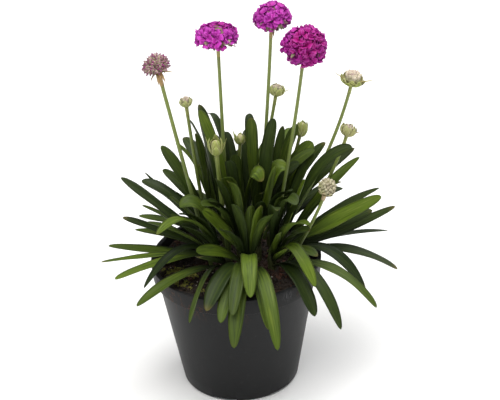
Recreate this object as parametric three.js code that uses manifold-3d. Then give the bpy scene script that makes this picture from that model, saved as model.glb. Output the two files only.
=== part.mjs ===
// Potted sea thrift: a cushion of strap leaves and flower heads on bare stems, in a round nursery pot.
// Millimetres, +Z up, the origin under the middle of the pot, the front towards -Y.

import * as THREE from 'three';
import { OBB } from 'three/addons/math/OBB.js';
import { mergeVertices } from 'three/addons/utils/BufferGeometryUtils.js';
import Module from 'manifold-3d';

const wasm = await Module();
wasm.setup();

// Driving dimensions
const GAP = 0.3;
const POT_HEIGHT = 104;
const RIM_RADIUS = 65;
const RIM_DEPTH = 13;
const BODY_TOP_RADIUS = 60.5;
const FOOT_RADIUS = 43.5;
const WALL = 1.4;
const SOIL_EDGE = 97.5;
const SOIL_DOME = 3.5;
const CROWN = new THREE.Vector2(10, 2);
const RING_RADIUS = 24;
const INNER_RADIUS = 9;
const RING_TOP = 112;
const INNER_TOP = 117;
const CAUDEX_RADIUS = 3;
const CAUDEX_LEAFY = 8;
const LEAF_THICKNESS = 0.8;
const STEM_RADIUS = 1.25;

const POT_GREY = '#2c2d31';
const SOIL_BROWN = '#2a1d15';
const LEAF_GREEN = '#3d5423';
const STEM_GREEN = '#8a9a48';
const SHEATH_TAN = '#b08a52';
const PETAL_PINK = '#a5199a';
const BUD_CREAM = '#cfc4a6';
const BUD_ROSE = '#b98a95';
const BUD_GREEN = '#8f9c55';

// Random draws that come out the same on every run
let seed = 11;

function draw(low, high) {
    seed = (seed * 16807) % 2147483647;
    return low + (high - low) * (seed / 2147483647);
}

const radians = THREE.MathUtils.degToRad;

// Solids

function solid(points, faces) {
    let volume = 0;
    for (const [a, b, c] of faces) {
        volume += points[a].dot(points[b].clone().cross(points[c]));
    }
    const outward = volume > 0 ? faces : faces.map(([a, b, c]) => [a, c, b]);
    return new wasm.Manifold(new wasm.Mesh({
        numProp: 3,
        vertProperties: Float32Array.from(points.flatMap((p) => [p.x, p.y, p.z])),
        triVerts: Uint32Array.from(outward.flat()),
    }));
}

// A closed skin through rings of points, split alike on the two faces of a blade
function loft(rings) {
    const count = rings[0].length;
    const last = (rings.length - 1) * count;
    const faces = [];
    for (let ring = 0; ring < last; ring += count) {
        for (let j = 0; j < count; j += 1) {
            const [a, b] = [ring + j, ring + ((j + 1) % count)];
            const [c, d] = [b + count, a + count];
            faces.push(...(j < count / 2 ? [[a, b, c], [a, c, d]] : [[a, b, d], [b, c, d]]));
        }
    }
    for (let j = 1; j < count - 1; j += 1) {
        faces.push([0, j + 1, j], [last, last + j, last + j + 1]);
    }
    return solid(rings.flat(), faces);
}

// A profile of [radius, height] pairs turned about Z; it starts and ends on the axis
function revolve(profile, sides) {
    const lathe = new THREE.LatheGeometry(profile.map(([r, z]) => new THREE.Vector2(r, z)), sides);
    lathe.deleteAttribute('normal');
    lathe.deleteAttribute('uv');
    const merged = mergeVertices(lathe.rotateX(Math.PI / 2), 1e-3);
    const place = merged.attributes.position;
    const points = [];
    for (let i = 0; i < place.count; i += 1) {
        points.push(new THREE.Vector3().fromBufferAttribute(place, i));
    }
    const faces = [];
    for (let i = 0; i < merged.index.count; i += 3) {
        const [a, b, c] = [0, 1, 2].map((k) => merged.index.getX(i + k));
        if (a !== b && b !== c && c !== a) {
            faces.push([a, b, c]);
        }
    }
    return { points, faces };
}

function turned(profile, sides) {
    const { points, faces } = revolve(profile, sides);
    return solid(points, faces);
}

function fuse(pieces) {
    return pieces.reduce((whole, piece) => whole.add(piece));
}

const plant = new THREE.Group();

function addPart(name, body, color, roughness, place = new THREE.Vector3(), turn = new THREE.Quaternion()) {
    const { vertProperties, triVerts } = body.getMesh();
    const geometry = new THREE.BufferGeometry();
    geometry.setAttribute('position', new THREE.BufferAttribute(new Float32Array(vertProperties), 3));
    geometry.setIndex(new THREE.BufferAttribute(new Uint32Array(triVerts), 1));
    geometry.computeVertexNormals();
    const material = new THREE.MeshStandardMaterial({ color, roughness, metalness: 0 });
    const mesh = new THREE.Mesh(geometry, material);
    mesh.name = name;
    mesh.position.copy(place);
    mesh.quaternion.copy(turn);
    plant.add(mesh);
}

// The pot: thin moulded wall, folded rim, raised drain channel and notched foot
const POT_SIDES = 28;
const RIM_THICKNESS = 1.3;
const CHANNEL = { inner: 26, outer: 36, height: 2.2 };
const DRAIN_HOLES = 8;
const DRAIN_RADIUS = 4;
const FOOT_NOTCHES = 6;
const NOTCH_WIDTH = 19;
const POT_FLOOR = 3.7;
const wallRadius = (z) => THREE.MathUtils.lerp(FOOT_RADIUS + 1, BODY_TOP_RADIUS, (z - 2) / 88);

function makePot() {
    const rimFoot = POT_HEIGHT - RIM_DEPTH;
    const innerTop = wallRadius(POT_HEIGHT) - WALL;
    const rise = CHANNEL.height;
    const shell = turned([
        [0, 0], [CHANNEL.inner - 1, 0], [CHANNEL.inner + 1, rise], [CHANNEL.outer - 1, rise],
        [CHANNEL.outer + 1, 0], [FOOT_RADIUS, 0], [wallRadius(2), 2],
        [wallRadius(rimFoot), rimFoot], [wallRadius(POT_HEIGHT - 2), POT_HEIGHT - 2],
        [RIM_RADIUS - RIM_THICKNESS, POT_HEIGHT - 2], [RIM_RADIUS - RIM_THICKNESS - 1, rimFoot],
        [RIM_RADIUS - 1, rimFoot], [RIM_RADIUS, POT_HEIGHT - 1], [RIM_RADIUS - 0.8, POT_HEIGHT],
        [innerTop, POT_HEIGHT], [wallRadius(POT_FLOOR) - WALL, POT_FLOOR],
        [CHANNEL.inner + 1, POT_FLOOR], [CHANNEL.inner - 1, WALL], [0, WALL],
    ], POT_SIDES);
    const cuts = [];
    for (let k = 0; k < DRAIN_HOLES; k += 1) {
        const angle = radians((360 / DRAIN_HOLES) * (k + 0.5));
        const radius = (CHANNEL.inner + CHANNEL.outer) / 2;
        const hole = turned([[0, -5], [DRAIN_RADIUS, -5], [DRAIN_RADIUS, 8], [0, 8]], 6);
        cuts.push(hole.translate(radius * Math.cos(angle), radius * Math.sin(angle), 0));
    }
    for (let k = 0; k < FOOT_NOTCHES; k += 1) {
        const turn = -108 + (360 / FOOT_NOTCHES) * k;
        const half = NOTCH_WIDTH / 2;
        const corners = (x) => [[-half, -1], [half, -1], [half, 2], [-half, 2]].map(
            ([y, z]) => new THREE.Vector3(x, y, z));
        cuts.push(loft([corners(CHANNEL.outer - 1), corners(FOOT_RADIUS + 3)]).rotate(0, 0, turn));
    }
    return cuts.reduce((body, cut) => body.subtract(cut), shell);
}

// The crown: eight leafy shoots in a ring round four inner ones
const RING_NAMES = ['front', 'front_right', 'right', 'back_right', 'back', 'back_left', 'left', 'front_left'];
const INNER_NAMES = ['inner_front_right', 'inner_back_right', 'inner_back_left', 'inner_front_left'];

function crownPoint(angle, radius, z) {
    const a = radians(angle);
    return new THREE.Vector3(CROWN.x + radius * Math.cos(a), CROWN.y + radius * Math.sin(a), z);
}

const shootAt = (name, angle, radius, z) => ({ name, angle, top: crownPoint(angle, radius, z) });
const shoots = [
    ...INNER_NAMES.map((name, k) => shootAt(name, 90 * k - 45, INNER_RADIUS, INNER_TOP)),
    ...RING_NAMES.map((name, k) => shootAt(name, 45 * k - 90, RING_RADIUS, RING_TOP)),
];

// Leaves that give the cushion its outline: place of the tip, arch, width and roll
const LEAVES = {
    inner_front_right: [[33, 0, 221, 78, 11, 40], [38, 10, 176, 100, 12, 30], [33, -14, 189, 56, 13, 0]],
    inner_back_right: [[18, 34, 208, 76, 8, 0], [16, 16, 214, 78, 9, 0]],
    inner_back_left: [[3, 34, 194, 70, 10, 0], [-15, 30, 212, 86, 9, 20]],
    inner_front_left: [[-23, -4, 230, 84, 13, -20], [22, -16, 177, 90, 13, 20]],
    front: [
        [-23, -78, 105, 34, 14, 0], [-13, -84, 98, 34, 11, 0], [-4, -86, 105, 40, 11, 0],
        [-4, -94, 82, 40, 12, 0], [23, -86, 91, 32, 12, 0], [28, -98, 81, 42, 11, 0],
        [6, -76, 114, 30, 12, 0], [14, -48, 129, 40, 10, 0], [20, -36, 168, 30, 9, 0],
        [13, -34, 167, 34, 8, 0], [-3, -32, 187, 60, 10, 10], [4, -44, 174, 48, 9, 0],
        [28, -46, 166, 44, 10, -10], [-10, -48, 156, 36, 10, 0], [-23, -26, 160, 38, 13, -30],
        [-29, -38, 132, 20, 12, -25],
    ],
    front_right: [
        [57, -62, 86, 24, 12, 0], [76, -66, 76, 26, 11, 0], [104, -44, 80, 22, 11, 0],
        [58, -56, 108, 52, 11, 0], [57, -28, 141, 24, 12, 0], [34, -44, 149, 12, 9, 30],
        [40, -50, 139, 14, 8, 0], [48, -34, 165, 44, 9, 40], [60, -40, 124, 26, 11, 0],
        [39, -36, 175, 50, 10, 0], [52, -28, 182, 56, 10, 20],
    ],
    right: [
        [123, 0, 86, 12, 12, 0], [100, 2, 77, 28, 10, 20], [123, 18, 131, -4, 10, 10],
        [121, 24, 101, 3, 10, -14], [105, 8, 134, 16, 12, 20], [111, -6, 154, 22, 13, 30],
        [112, 30, 141, 28, 9, 0], [95, 32, 170, 40, 9, 10], [90, 6, 193, 80, 12, 20],
    ],
    back_right: [
        [94, 42, 170, 44, 8, 30], [84, 56, 133, 32, 8, 0], [72, 44, 175, 60, 12, 0],
        [58, 48, 177, 60, 8, 0], [51, 28, 200, 74, 9, 30], [40, 40, 193, 74, 8, 0],
        [62, 30, 183, 60, 14, 40],
    ],
    back: [],
    back_left: [
        [-67, 38, 159, 12, 7, 58], [-53, 30, 165, 36, 12, -15], [-42, 34, 185, 66, 7, 60],
        [-51, 55, 133, 18, 9, 0], [-74, 38, 121, 14, 9, 0], [-31, 44, 200, 80, 7, 50],
        [-22, 18, 226, 84, 10, 60],
    ],
    left: [
        [-26, 4, 209, 70, 12, -10], [-84, 10, 171, 28, 11, -10], [-52, 20, 192, 56, 11, -15],
        [-70, 24, 138, 26, 10, 20], [-85, 14, 134, 14, 10, 0], [-77, 22, 118, 12, 9, 5],
        [-97, 6, 114, 2, 11, 0], [-102, -14, 112, 8, 9, 10], [-91, -36, 110, 12, 10, 0],
    ],
    front_left: [
        [-70, -38, 102, 50, 8, -10], [-75, -58, 99, 16, 11, 0], [-36, -76, 94, 30, 9, 40],
        [-40, -22, 162, 70, 12, -25], [-38, -34, 152, 36, 11, 0],
    ],
};

// Flowers: place of the head, angle and radius of the foot round the crown, and the head's own size;
// an open one has florets from its top down to its cover angle
const open = (cover, florets) => ({ cover, florets });
const FLOWERS = [
    { kind: 'rosebud', head: [-51, -4, 271], foot: [202, 31], bow: 0.5, radius: 9.5, flat: 0.85, bract: 6 },
    { kind: 'bud', head: [-32, 16, 230], foot: [157, 31], radius: 4.5, flat: 0.9, bract: 2 },
    { kind: 'bloom', head: [-6, 8, 287], foot: [157, 16], radius: 15.5, flat: 0.78, bract: 9, ...open(102, 20) },
    { kind: 'bloom', head: [34, 12, 299], foot: [67, 16], radius: 14.5, flat: 0.85, bract: 7, ...open(118, 21) },
    { kind: 'bloom', head: [57, -8, 284], foot: [-22, 16], radius: 17, flat: 0.93, bract: 2, ...open(138, 33) },
    { kind: 'bud', head: [36, 30, 229], foot: [112, 16], radius: 5.5, flat: 0.8, bract: 3 },
    { kind: 'bud', head: [92, 12, 245], foot: [22, 16], bow: 0.74, radius: 8.5, flat: 0.6, bract: 5 },
    { kind: 'bud', head: [89, 32, 191], foot: [22, 31], bow: 0.7, radius: 5.5, flat: 0.8, bract: 3 },
    { kind: 'bud', head: [70, -30, 178], foot: [-22, 31], radius: 6.5, flat: 1, bract: 2 },
    { kind: 'green', head: [54, 36, 192], foot: [67, 31], radius: 4, flat: 1.5 },
    { kind: 'green', head: [7, 28, 190], foot: [112, 31], radius: 3.5, flat: 1.2 },
    { kind: 'green', head: [-11, -14, 207], foot: [202, 16], radius: 4.5, flat: 1.4, stem: 1.7 },
    { kind: 'green', head: [23, 8, 177], foot: [0, 0], radius: 3, flat: 1.4 },
];

// How far under its middle a head ends, as a share of its height, and where the stem under it ends
const UNDERSIDE = { bloom: 0.5, rosebud: 0.66, bud: 0.2, green: 0.9 };
const SOCKET_DEPTH = 8;
const SOCKET_ROOF = 2;
const seatBelow = ({ kind, radius, flat }) => radius * flat * UNDERSIDE[kind] + GAP;
const neckBelow = (flower) => seatBelow(flower) + (flower.kind === 'green' ? 0 : SOCKET_ROOF + GAP);

// Clearance: what is placed first stands, and each new leaf swings until it meets nothing
const LEAF_CLEARANCE = 0.5;
const OWN_CLEARANCE = 0.05;
const FINE_STEPS = 10;
const placed = [];

// Boxes between the stations of a blade or stem, thick enough to hold its twist
function boxesAlong(stations, halfThickness) {
    const boxes = [];
    for (let i = 0; i + 1 < stations.length; i += 1) {
        const [a, b] = [stations[i], stations[i + 1]];
        const along = b.point.clone().sub(a.point);
        const length = along.length();
        along.divideScalar(length);
        const side = a.side.clone().add(b.side);
        side.addScaledVector(along, -side.dot(along)).normalize();
        const up = along.clone().cross(side);
        const twist = 0.7 * b.half * Math.abs(b.side.dot(up));
        boxes.push(new OBB(
            a.point.clone().add(b.point).multiplyScalar(0.5),
            new THREE.Vector3(length / 2, Math.max(a.half, b.half), halfThickness + twist),
            new THREE.Matrix3().setFromMatrix4(new THREE.Matrix4().makeBasis(along, side, up)),
        ));
    }
    return boxes;
}

function meet(boxes, others, margin) {
    return boxes.some((box) => {
        const grown = new OBB(box.center, box.halfSize.clone().addScalar(margin), box.rotation);
        const reach = grown.halfSize.length();
        return others.some((other) => box.center.distanceTo(other.center) < reach + other.halfSize.length()
            && grown.intersectsOBB(other));
    });
}

const soilHeight = (radius) => SOIL_EDGE + SOIL_DOME * Math.cos((Math.PI / 2) * Math.min(1, radius / 61));

// Lowest height that a leaf may have at a distance from the pot's axis
function floorAt(radius) {
    if (radius < RIM_RADIUS - 5) {
        return soilHeight(radius) + 1;
    }
    return radius < RIM_RADIUS + 2 ? POT_HEIGHT + 1 : 0;
}

// Stems
const STEM_STEPS = 5;
const BOW = 0.62;
const STEM_SIDES = 5;
const STEM_FOOT = SOIL_EDGE - 8;
const STEM_START = SOIL_EDGE + SOIL_DOME;

function stemStations(flower) {
    const foot = crownPoint(flower.foot[0], flower.foot[1], STEM_START);
    const head = new THREE.Vector3(...flower.head);
    const lean = head.clone().sub(foot);
    const bow = flower.bow ?? BOW;
    const middle = foot.clone().add(new THREE.Vector3(lean.x * bow, lean.y * bow, lean.z * 0.5));
    flower.along = head.clone().sub(middle).normalize();
    const neck = head.clone().addScaledVector(flower.along, -neckBelow(flower));
    const curve = new THREE.QuadraticBezierCurve3(foot, middle, neck);
    const stations = [{ point: foot.clone().setZ(STEM_FOOT), along: new THREE.Vector3(0, 0, 1) }];
    for (let i = 0; i <= STEM_STEPS; i += 1) {
        stations.push({ point: curve.getPoint(i / STEM_STEPS), along: curve.getTangent(i / STEM_STEPS) });
    }
    for (const station of stations) {
        station.side = new THREE.Vector3(1, 0, 0).addScaledVector(station.along, -station.along.x).normalize();
        station.half = flower.stem ?? STEM_RADIUS;
    }
    return stations;
}

for (const shoot of shoots) {
    const height = shoot.top.z - STEM_FOOT;
    placed.push({ name: shoot.name, boxes: [new OBB(
        shoot.top.clone().setZ(shoot.top.z - height / 2),
        new THREE.Vector3(CAUDEX_RADIUS, CAUDEX_RADIUS, height / 2),
    )] });
}
FLOWERS.forEach((flower, index) => {
    flower.name = String(index + 1).padStart(2, '0');
    flower.stations = stemStations(flower);
    const half = flower.radius;
    const head = new OBB(new THREE.Vector3(...flower.head), new THREE.Vector3(half, half, half));
    placed.push({ name: `flower_${flower.name}`, boxes: [...boxesAlong(flower.stations, STEM_RADIUS), head] });
});

// Leaf blades
const SWINGS = [];
for (let turn = -16; turn <= 16; turn += 2) {
    for (let lift = -24; lift <= 24; lift += 4) {
        SWINGS.push({ turn, lift, cost: Math.abs(turn) + 0.5 * Math.abs(lift) + 0.001 * (turn + lift) });
    }
}
SWINGS.sort((a, b) => a.cost - b.cost);

// Half the blade's width: narrow at the root, widest past the middle, rounded to a short point
const ROOT_SHARE = 0.22;

function leafHalfWidth(t, width) {
    const grow = Math.min(1, t / 0.55);
    const taper = Math.max(0, (t - 0.6) / 0.4);
    const share = ROOT_SHARE + (1 - ROOT_SHARE) * grow * grow * (3 - 2 * grow);
    return 0.5 * width * share * Math.sqrt(Math.max(0, 1 - taper ** 3.4));
}

// Roots climb the short stem: the lower a leaf lies, the lower it is rooted
function rootOf(shoot, reach, rise) {
    const tilt = THREE.MathUtils.radToDeg(Math.atan2(rise, reach));
    const share = THREE.MathUtils.clamp((tilt + 30) / 115, 0, 1);
    return shoot.top.clone().setZ(shoot.top.z - 0.8 - CAUDEX_LEAFY * (1 - share));
}

function leafStations(leaf, steps) {
    const angle = radians(leaf.angle);
    const out = new THREE.Vector3(Math.cos(angle), Math.sin(angle), 0);
    const side = new THREE.Vector3(-Math.sin(angle), Math.cos(angle), 0);
    const hang = THREE.MathUtils.clamp(-leaf.rise / 30, 0, 1);
    const root = leaf.root.clone().addScaledVector(out, CAUDEX_RADIUS - 1);
    const middle = root.clone().addScaledVector(out, leaf.reach * (0.42 + 0.2 * hang)).setZ(root.z + leaf.arch);
    const tip = root.clone().addScaledVector(out, leaf.reach).setZ(root.z + leaf.rise);
    const stations = [];
    for (let i = 0; i <= steps; i += 1) {
        const t = i / steps;
        const point = root.clone().multiplyScalar((1 - t) ** 2)
            .addScaledVector(middle, 2 * t * (1 - t)).addScaledVector(tip, t * t);
        const along = middle.clone().sub(root).multiplyScalar(1 - t)
            .addScaledVector(tip.clone().sub(middle), t).normalize();
        const flat = side.clone().addScaledVector(along, -along.dot(side)).normalize();
        const roll = radians(leaf.roll) * Math.min(1, t / 0.5);
        const edge = flat.clone().multiplyScalar(Math.cos(roll))
            .addScaledVector(along.clone().cross(flat), Math.sin(roll));
        stations.push({ point, along, side: edge, half: leafHalfWidth(t, leaf.width) });
    }
    return stations;
}

function clearOfPot(leaf) {
    return leafStations(leaf, 16).every((station) => [-1, 0, 1].every((across) => {
        const corner = station.point.clone().addScaledVector(station.side, across * station.half);
        return corner.z > floorAt(Math.hypot(corner.x, corner.y));
    }));
}

function clearOfPlant(leaf, boxes, ownBoxes) {
    return placed.every((other) => (other.name === leaf.shoot
        ? !other.ownBoxes || !meet(ownBoxes, other.ownBoxes, OWN_CLEARANCE)
        : !meet(boxes, other.boxes, LEAF_CLEARANCE)));
}

function settle(wanted) {
    for (const { turn, lift } of SWINGS) {
        const leaf = { ...wanted, angle: wanted.angle + turn, arch: wanted.arch + lift };
        if (clearOfPot(leaf)) {
            const boxes = boxesAlong(leafStations(leaf, leaf.steps), LEAF_THICKNESS / 2);
            const ownBoxes = boxesAlong(leafStations(leaf, FINE_STEPS).slice(2), LEAF_THICKNESS / 2);
            if (clearOfPlant(leaf, boxes, ownBoxes)) {
                placed.push({ name: leaf.shoot, boxes, ownBoxes });
                return leaf;
            }
        }
    }
    return null;
}

function leafToTip(shoot, [x, y, z, arch, width, roll]) {
    const [dx, dy] = [x - shoot.top.x, y - shoot.top.y];
    const root = rootOf(shoot, Math.hypot(dx, dy), z - shoot.top.z);
    return {
        shoot: shoot.name, root, arch, width, roll,
        steps: Math.hypot(dx, dy, z - root.z) > 95 ? 6 : 5,
        angle: THREE.MathUtils.radToDeg(Math.atan2(dy, dx)),
        reach: Math.hypot(dx, dy) - CAUDEX_RADIUS + 1,
        rise: z - root.z,
    };
}

// A leaf drawn at random for a shoot, at a given steepness
function drawnLeaf(shoot, steepness) {
    const length = draw(62, 88);
    const tilt = radians(steepness + draw(-8, 8));
    const reach = length * Math.cos(tilt);
    const rise = length * Math.sin(tilt) - 4;
    return {
        shoot: shoot.name, reach, rise, steps: 4,
        root: rootOf(shoot, reach, rise),
        angle: shoot.angle + draw(-38, 38),
        arch: length * (0.3 + 0.5 * Math.max(0, Math.sin(tilt))),
        width: draw(8, 12),
        roll: draw(-25, 25),
    };
}

const RING_STEEPNESS = [42, 62, 12, 74, 28, 54];
const FRONT_STEEPNESS = [70, 56, 80, 44, 64];
const INNER_STEEPNESS = [75, 60, 82];
const LEAF_COUNTS = { front: 16, front_left: 14, front_right: 14, left: 11, right: 11 };
const OTHER_LEAVES = 10;
const INNER_LEAVES = 8;
const MOST_TRIES = 30;

for (const shoot of shoots) {
    shoot.leaves = LEAVES[shoot.name].map((row) => settle(leafToTip(shoot, row))).filter((leaf) => leaf);
}
for (const shoot of shoots) {
    const { name, leaves } = shoot;
    const inner = name.startsWith('inner');
    const outer = name.startsWith('front') ? FRONT_STEEPNESS : RING_STEEPNESS;
    const steepness = inner ? INNER_STEEPNESS : outer;
    const wanted = inner ? INNER_LEAVES : LEAF_COUNTS[name] ?? OTHER_LEAVES;
    for (let tries = 0; tries < MOST_TRIES && leaves.length < wanted; tries += 1) {
        const leaf = settle(drawnLeaf(shoot, steepness[tries % steepness.length]));
        if (leaf) {
            leaves.push(leaf);
        }
    }
}

// Building the leafy shoots: a short stem in the soil with the blades rooted in its side
const CAUDEX_SIDES = 6;
const TIP_HALF_WIDTH = 0.4;

function bladeBody(leaf) {
    const rings = leafStations(leaf, leaf.steps).map(({ point, along, side, half }) => {
        const up = along.clone().cross(side).multiplyScalar(LEAF_THICKNESS / 2);
        const edge = side.clone().multiplyScalar(Math.max(half, TIP_HALF_WIDTH));
        return [
            point.clone().sub(edge).sub(up), point.clone().add(edge).sub(up),
            point.clone().add(edge).add(up), point.clone().sub(edge).add(up),
        ];
    });
    return loft(rings);
}

for (const shoot of shoots) {
    const { x, y, z } = shoot.top;
    const caudex = turned([
        [0, STEM_FOOT], [CAUDEX_RADIUS - 0.6, STEM_FOOT], [CAUDEX_RADIUS, STEM_FOOT + 2],
        [CAUDEX_RADIUS, z - 1], [CAUDEX_RADIUS - 1.5, z + 0.5], [0, z + 0.5],
    ], CAUDEX_SIDES).translate(x, y, 0);
    const body = fuse([caudex, ...shoot.leaves.map(bladeBody)]);
    const place = new THREE.Vector3(x, y, 0);
    addPart(`shoot_${shoot.name}`, body.translate(-x, -y, 0), LEAF_GREEN, 0.45, place);
}

// Building the stems and flower heads; a head is made upright round its own middle
const BUD_SIDES = 6;

function stemBody(stations) {
    return loft(stations.map(({ point, along, side, half }) => {
        const up = along.clone().cross(side);
        return Array.from({ length: STEM_SIDES }, (_, k) => {
            const a = (2 * Math.PI * k) / STEM_SIDES;
            return point.clone()
                .addScaledVector(side, half * Math.cos(a)).addScaledVector(up, half * Math.sin(a));
        });
    }));
}

// Directions spread evenly from the top of a head down to its cover angle
function spread(count, cover) {
    const golden = Math.PI * (3 - Math.sqrt(5));
    const lowest = Math.cos(radians(cover));
    return Array.from({ length: count }, (_, k) => {
        const z = 1 - ((k + 0.5) / count) * (1 - lowest);
        const r = Math.sqrt(1 - z * z);
        return new THREE.Vector3(r * Math.cos(golden * k), r * Math.sin(golden * k), z);
    });
}

// Two directions square to a given one
function squareTo(direction) {
    const helper = Math.abs(direction.z) < 0.9 ? new THREE.Vector3(0, 0, 1) : new THREE.Vector3(1, 0, 0);
    const first = helper.cross(direction).normalize();
    return [first, direction.clone().cross(first)];
}

// An open floret: five lobes round a sunken throat, on a three-sided tube rooted in the core
const LOBE_RISE = 0.8;
const NOTCH_SHARE = 0.72;
const THROAT_DEPTH = 1.4;
const TUBE_TOP = { depth: 2.6, radius: 0.9 };
const TUBE_RADIUS = 0.7;

function floret(center, direction, size, depth, turn) {
    const [u, v] = squareTo(direction);
    const at = (angle, radius, height) => center.clone().addScaledVector(direction, height)
        .addScaledVector(u, radius * Math.cos(angle)).addScaledVector(v, radius * Math.sin(angle));
    const count = 10;
    const outline = Array.from({ length: count }, (_, k) => at(
        turn + (2 * Math.PI * k) / count, size * (k % 2 ? NOTCH_SHARE : 1), k % 2 ? 0 : LOBE_RISE));
    const tube = (height, radius) => [0, 1, 2].map(
        (k) => at(turn + (2 * Math.PI * (k + 0.5)) / 3, radius, height));
    const points = [
        at(0, 0, -THROAT_DEPTH), ...outline,
        ...tube(-TUBE_TOP.depth, TUBE_TOP.radius), ...tube(-depth, TUBE_RADIUS),
    ];
    const neck = (k) => 1 + count + (Math.floor((3 * k) / count) % 3);
    const faces = outline.flatMap((_, k) => {
        const [a, b] = [1 + k, 1 + ((k + 1) % count)];
        const under = [[0, a, b], [neck(k), b, a]];
        return neck(k) === neck(k + 1) ? under : [...under, [neck(k), neck(k + 1), b]];
    });
    for (let k = 0; k < 3; k += 1) {
        const [a, b] = [1 + count + k, 1 + count + ((k + 1) % 3)];
        faces.push([b, a, a + 3], [b, a + 3, b + 3]);
    }
    faces.push([count + 6, count + 5, count + 4]);
    return solid(points, faces);
}

function ball(radius, flat, rows, sides) {
    const profile = [];
    for (let k = 0; k <= rows; k += 1) {
        const a = Math.PI * (1 - k / rows);
        profile.push([k === 0 || k === rows ? 0 : radius * Math.sin(a), Math.cos(a) * radius * flat]);
    }
    return turned(profile, sides);
}

// The open head: florets over a small core, each a little wider than its share of the surface
const FLORET_LAP = 1.2;
const CORE_SHARE = 0.5;
const CORE_ROWS = 5;

function bloomBody({ radius, flat, cover, florets }) {
    const size = radius * Math.sqrt((1 - Math.cos(radians(cover))) / florets) * FLORET_LAP;
    const pieces = spread(florets, cover).map((direction) => {
        const center = direction.clone().multiply(new THREE.Vector3(1, 1, flat)).multiplyScalar(radius - 0.6);
        return floret(center, direction, size, radius * 0.6, draw(0, 1.2));
    });
    return fuse([ball(radius * CORE_SHARE, flat, CORE_ROWS, BUD_SIDES), ...pieces]);
}

// A ball of triangles whose corners and, on a fine one, face middles stand up as pointed buds
const PEAK_SHARE = 1.08;
const HOLLOW_SHARE = 0.8;

function knobbly(radius, flat, fine, lowest) {
    const ico = new THREE.IcosahedronGeometry(1, fine ? 2 : 1);
    const corners = new THREE.IcosahedronGeometry(1, 0).attributes.position;
    const peaks = [];
    for (let i = 0; i < corners.count; i += 3) {
        const three = [0, 1, 2].map((k) => new THREE.Vector3().fromBufferAttribute(corners, i + k));
        peaks.push(...three);
        if (fine) {
            peaks.push(three[0].clone().add(three[1]).add(three[2]).normalize());
        }
    }
    ico.deleteAttribute('normal');
    ico.deleteAttribute('uv');
    const ball = mergeVertices(ico, 1e-3);
    const place = ball.attributes.position;
    const points = [];
    for (let i = 0; i < place.count; i += 1) {
        const point = new THREE.Vector3().fromBufferAttribute(place, i);
        const peak = peaks.some((other) => other.distanceTo(point) < 0.01);
        point.multiplyScalar(radius * (peak ? PEAK_SHARE : HOLLOW_SHARE));
        points.push(point.setZ(Math.max(lowest * radius, point.z) * flat));
    }
    const faces = [];
    for (let i = 0; i < ball.index.count; i += 3) {
        faces.push([0, 1, 2].map((k) => ball.index.getX(i + k)));
    }
    return solid(points, faces);
}

// Under a head: a cup on the end of the stem, a papery sheath down the stem and pointed bracts
const SHEATH_WALL = 0.7;
const CUP_EDGE = 0.8;
const CUP_SHARE = { bloom: 0.35, rosebud: 0.35, bud: 0.95 };
const BRACT_COUNT = { bloom: 7, rosebud: 5, bud: 5 };
const BRACT_ROOT = 0.74;
const BRACT_TIP_HALF = 0.3;

function bractBody(flower) {
    const top = -seatBelow(flower);
    const rim = flower.radius * CUP_SHARE[flower.kind];
    const socket = STEM_RADIUS + GAP;
    const sheath = socket + SHEATH_WALL;
    const ceiling = top - SOCKET_ROOF;
    const cup = turned([
        [0, ceiling], [socket, ceiling], [socket, ceiling - SOCKET_DEPTH], [sheath, ceiling - SOCKET_DEPTH],
        [sheath + 0.3, ceiling - 1], [rim, top - CUP_EDGE], [rim, top], [0, top],
    ], BUD_SIDES);
    const count = BRACT_COUNT[flower.kind];
    const bracts = [];
    for (let k = 0; k < count; k += 1) {
        const a = (2 * Math.PI * k) / count + draw(-0.2, 0.2);
        const out = new THREE.Vector3(Math.cos(a), Math.sin(a), 0);
        const side = new THREE.Vector3(-Math.sin(a), Math.cos(a), 0);
        const length = flower.bract * draw(0.8, 1.15);
        const rise = flower.kind === 'bud' ? flower.radius * 0.3 : -draw(1, 3);
        const ring = (distance, z, half, thick) => [[-1, -1], [1, -1], [1, 1], [-1, 1]].map(([s, t]) =>
            out.clone().multiplyScalar(distance).addScaledVector(side, s * half).setZ(z + t * thick));
        bracts.push(loft([
            ring(rim * BRACT_ROOT, top - 0.6, Math.min(1.5, rim * 0.38), 0.35),
            ring(rim + length, top - 0.9 + rise, BRACT_TIP_HALF, 0.3),
        ]));
    }
    return fuse([cup, ...bracts]);
}

const HEAD_COLORS = { bloom: PETAL_PINK, rosebud: BUD_ROSE, bud: BUD_CREAM, green: BUD_GREEN };
const HEAD_BODIES = {
    bloom: bloomBody,
    rosebud: ({ radius, flat }) => knobbly(radius, flat, true, -UNDERSIDE.rosebud),
    bud: ({ radius, flat }) => knobbly(radius, flat, false, -UNDERSIDE.bud),
    green: ({ radius, flat }) => knobbly(radius, flat, false, -UNDERSIDE.green),
};

for (const flower of FLOWERS) {
    const { x, y } = flower.stations[0].point;
    addPart(`stem_${flower.name}`, stemBody(flower.stations).translate(-x, -y, 0), STEM_GREEN, 0.5,
        new THREE.Vector3(x, y, 0));
    const place = new THREE.Vector3(...flower.head);
    const turn = new THREE.Quaternion().setFromUnitVectors(new THREE.Vector3(0, 0, 1), flower.along);
    const makeHead = HEAD_BODIES[flower.kind];
    addPart(`head_${flower.name}`, makeHead(flower), HEAD_COLORS[flower.kind], 0.6, place, turn);
    if (flower.kind !== 'green') {
        addPart(`bracts_${flower.name}`, bractBody(flower), SHEATH_TAN, 0.7, place, turn);
    }
}

// The soil: fills the pot, domed to the crown, lumpy on top, with a plain hole for each stem
const SOIL_SIDES = POT_SIDES / 2;
const SOIL_RINGS = [48, 34, 20, 8];
const LUMP = 0.7;

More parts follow.
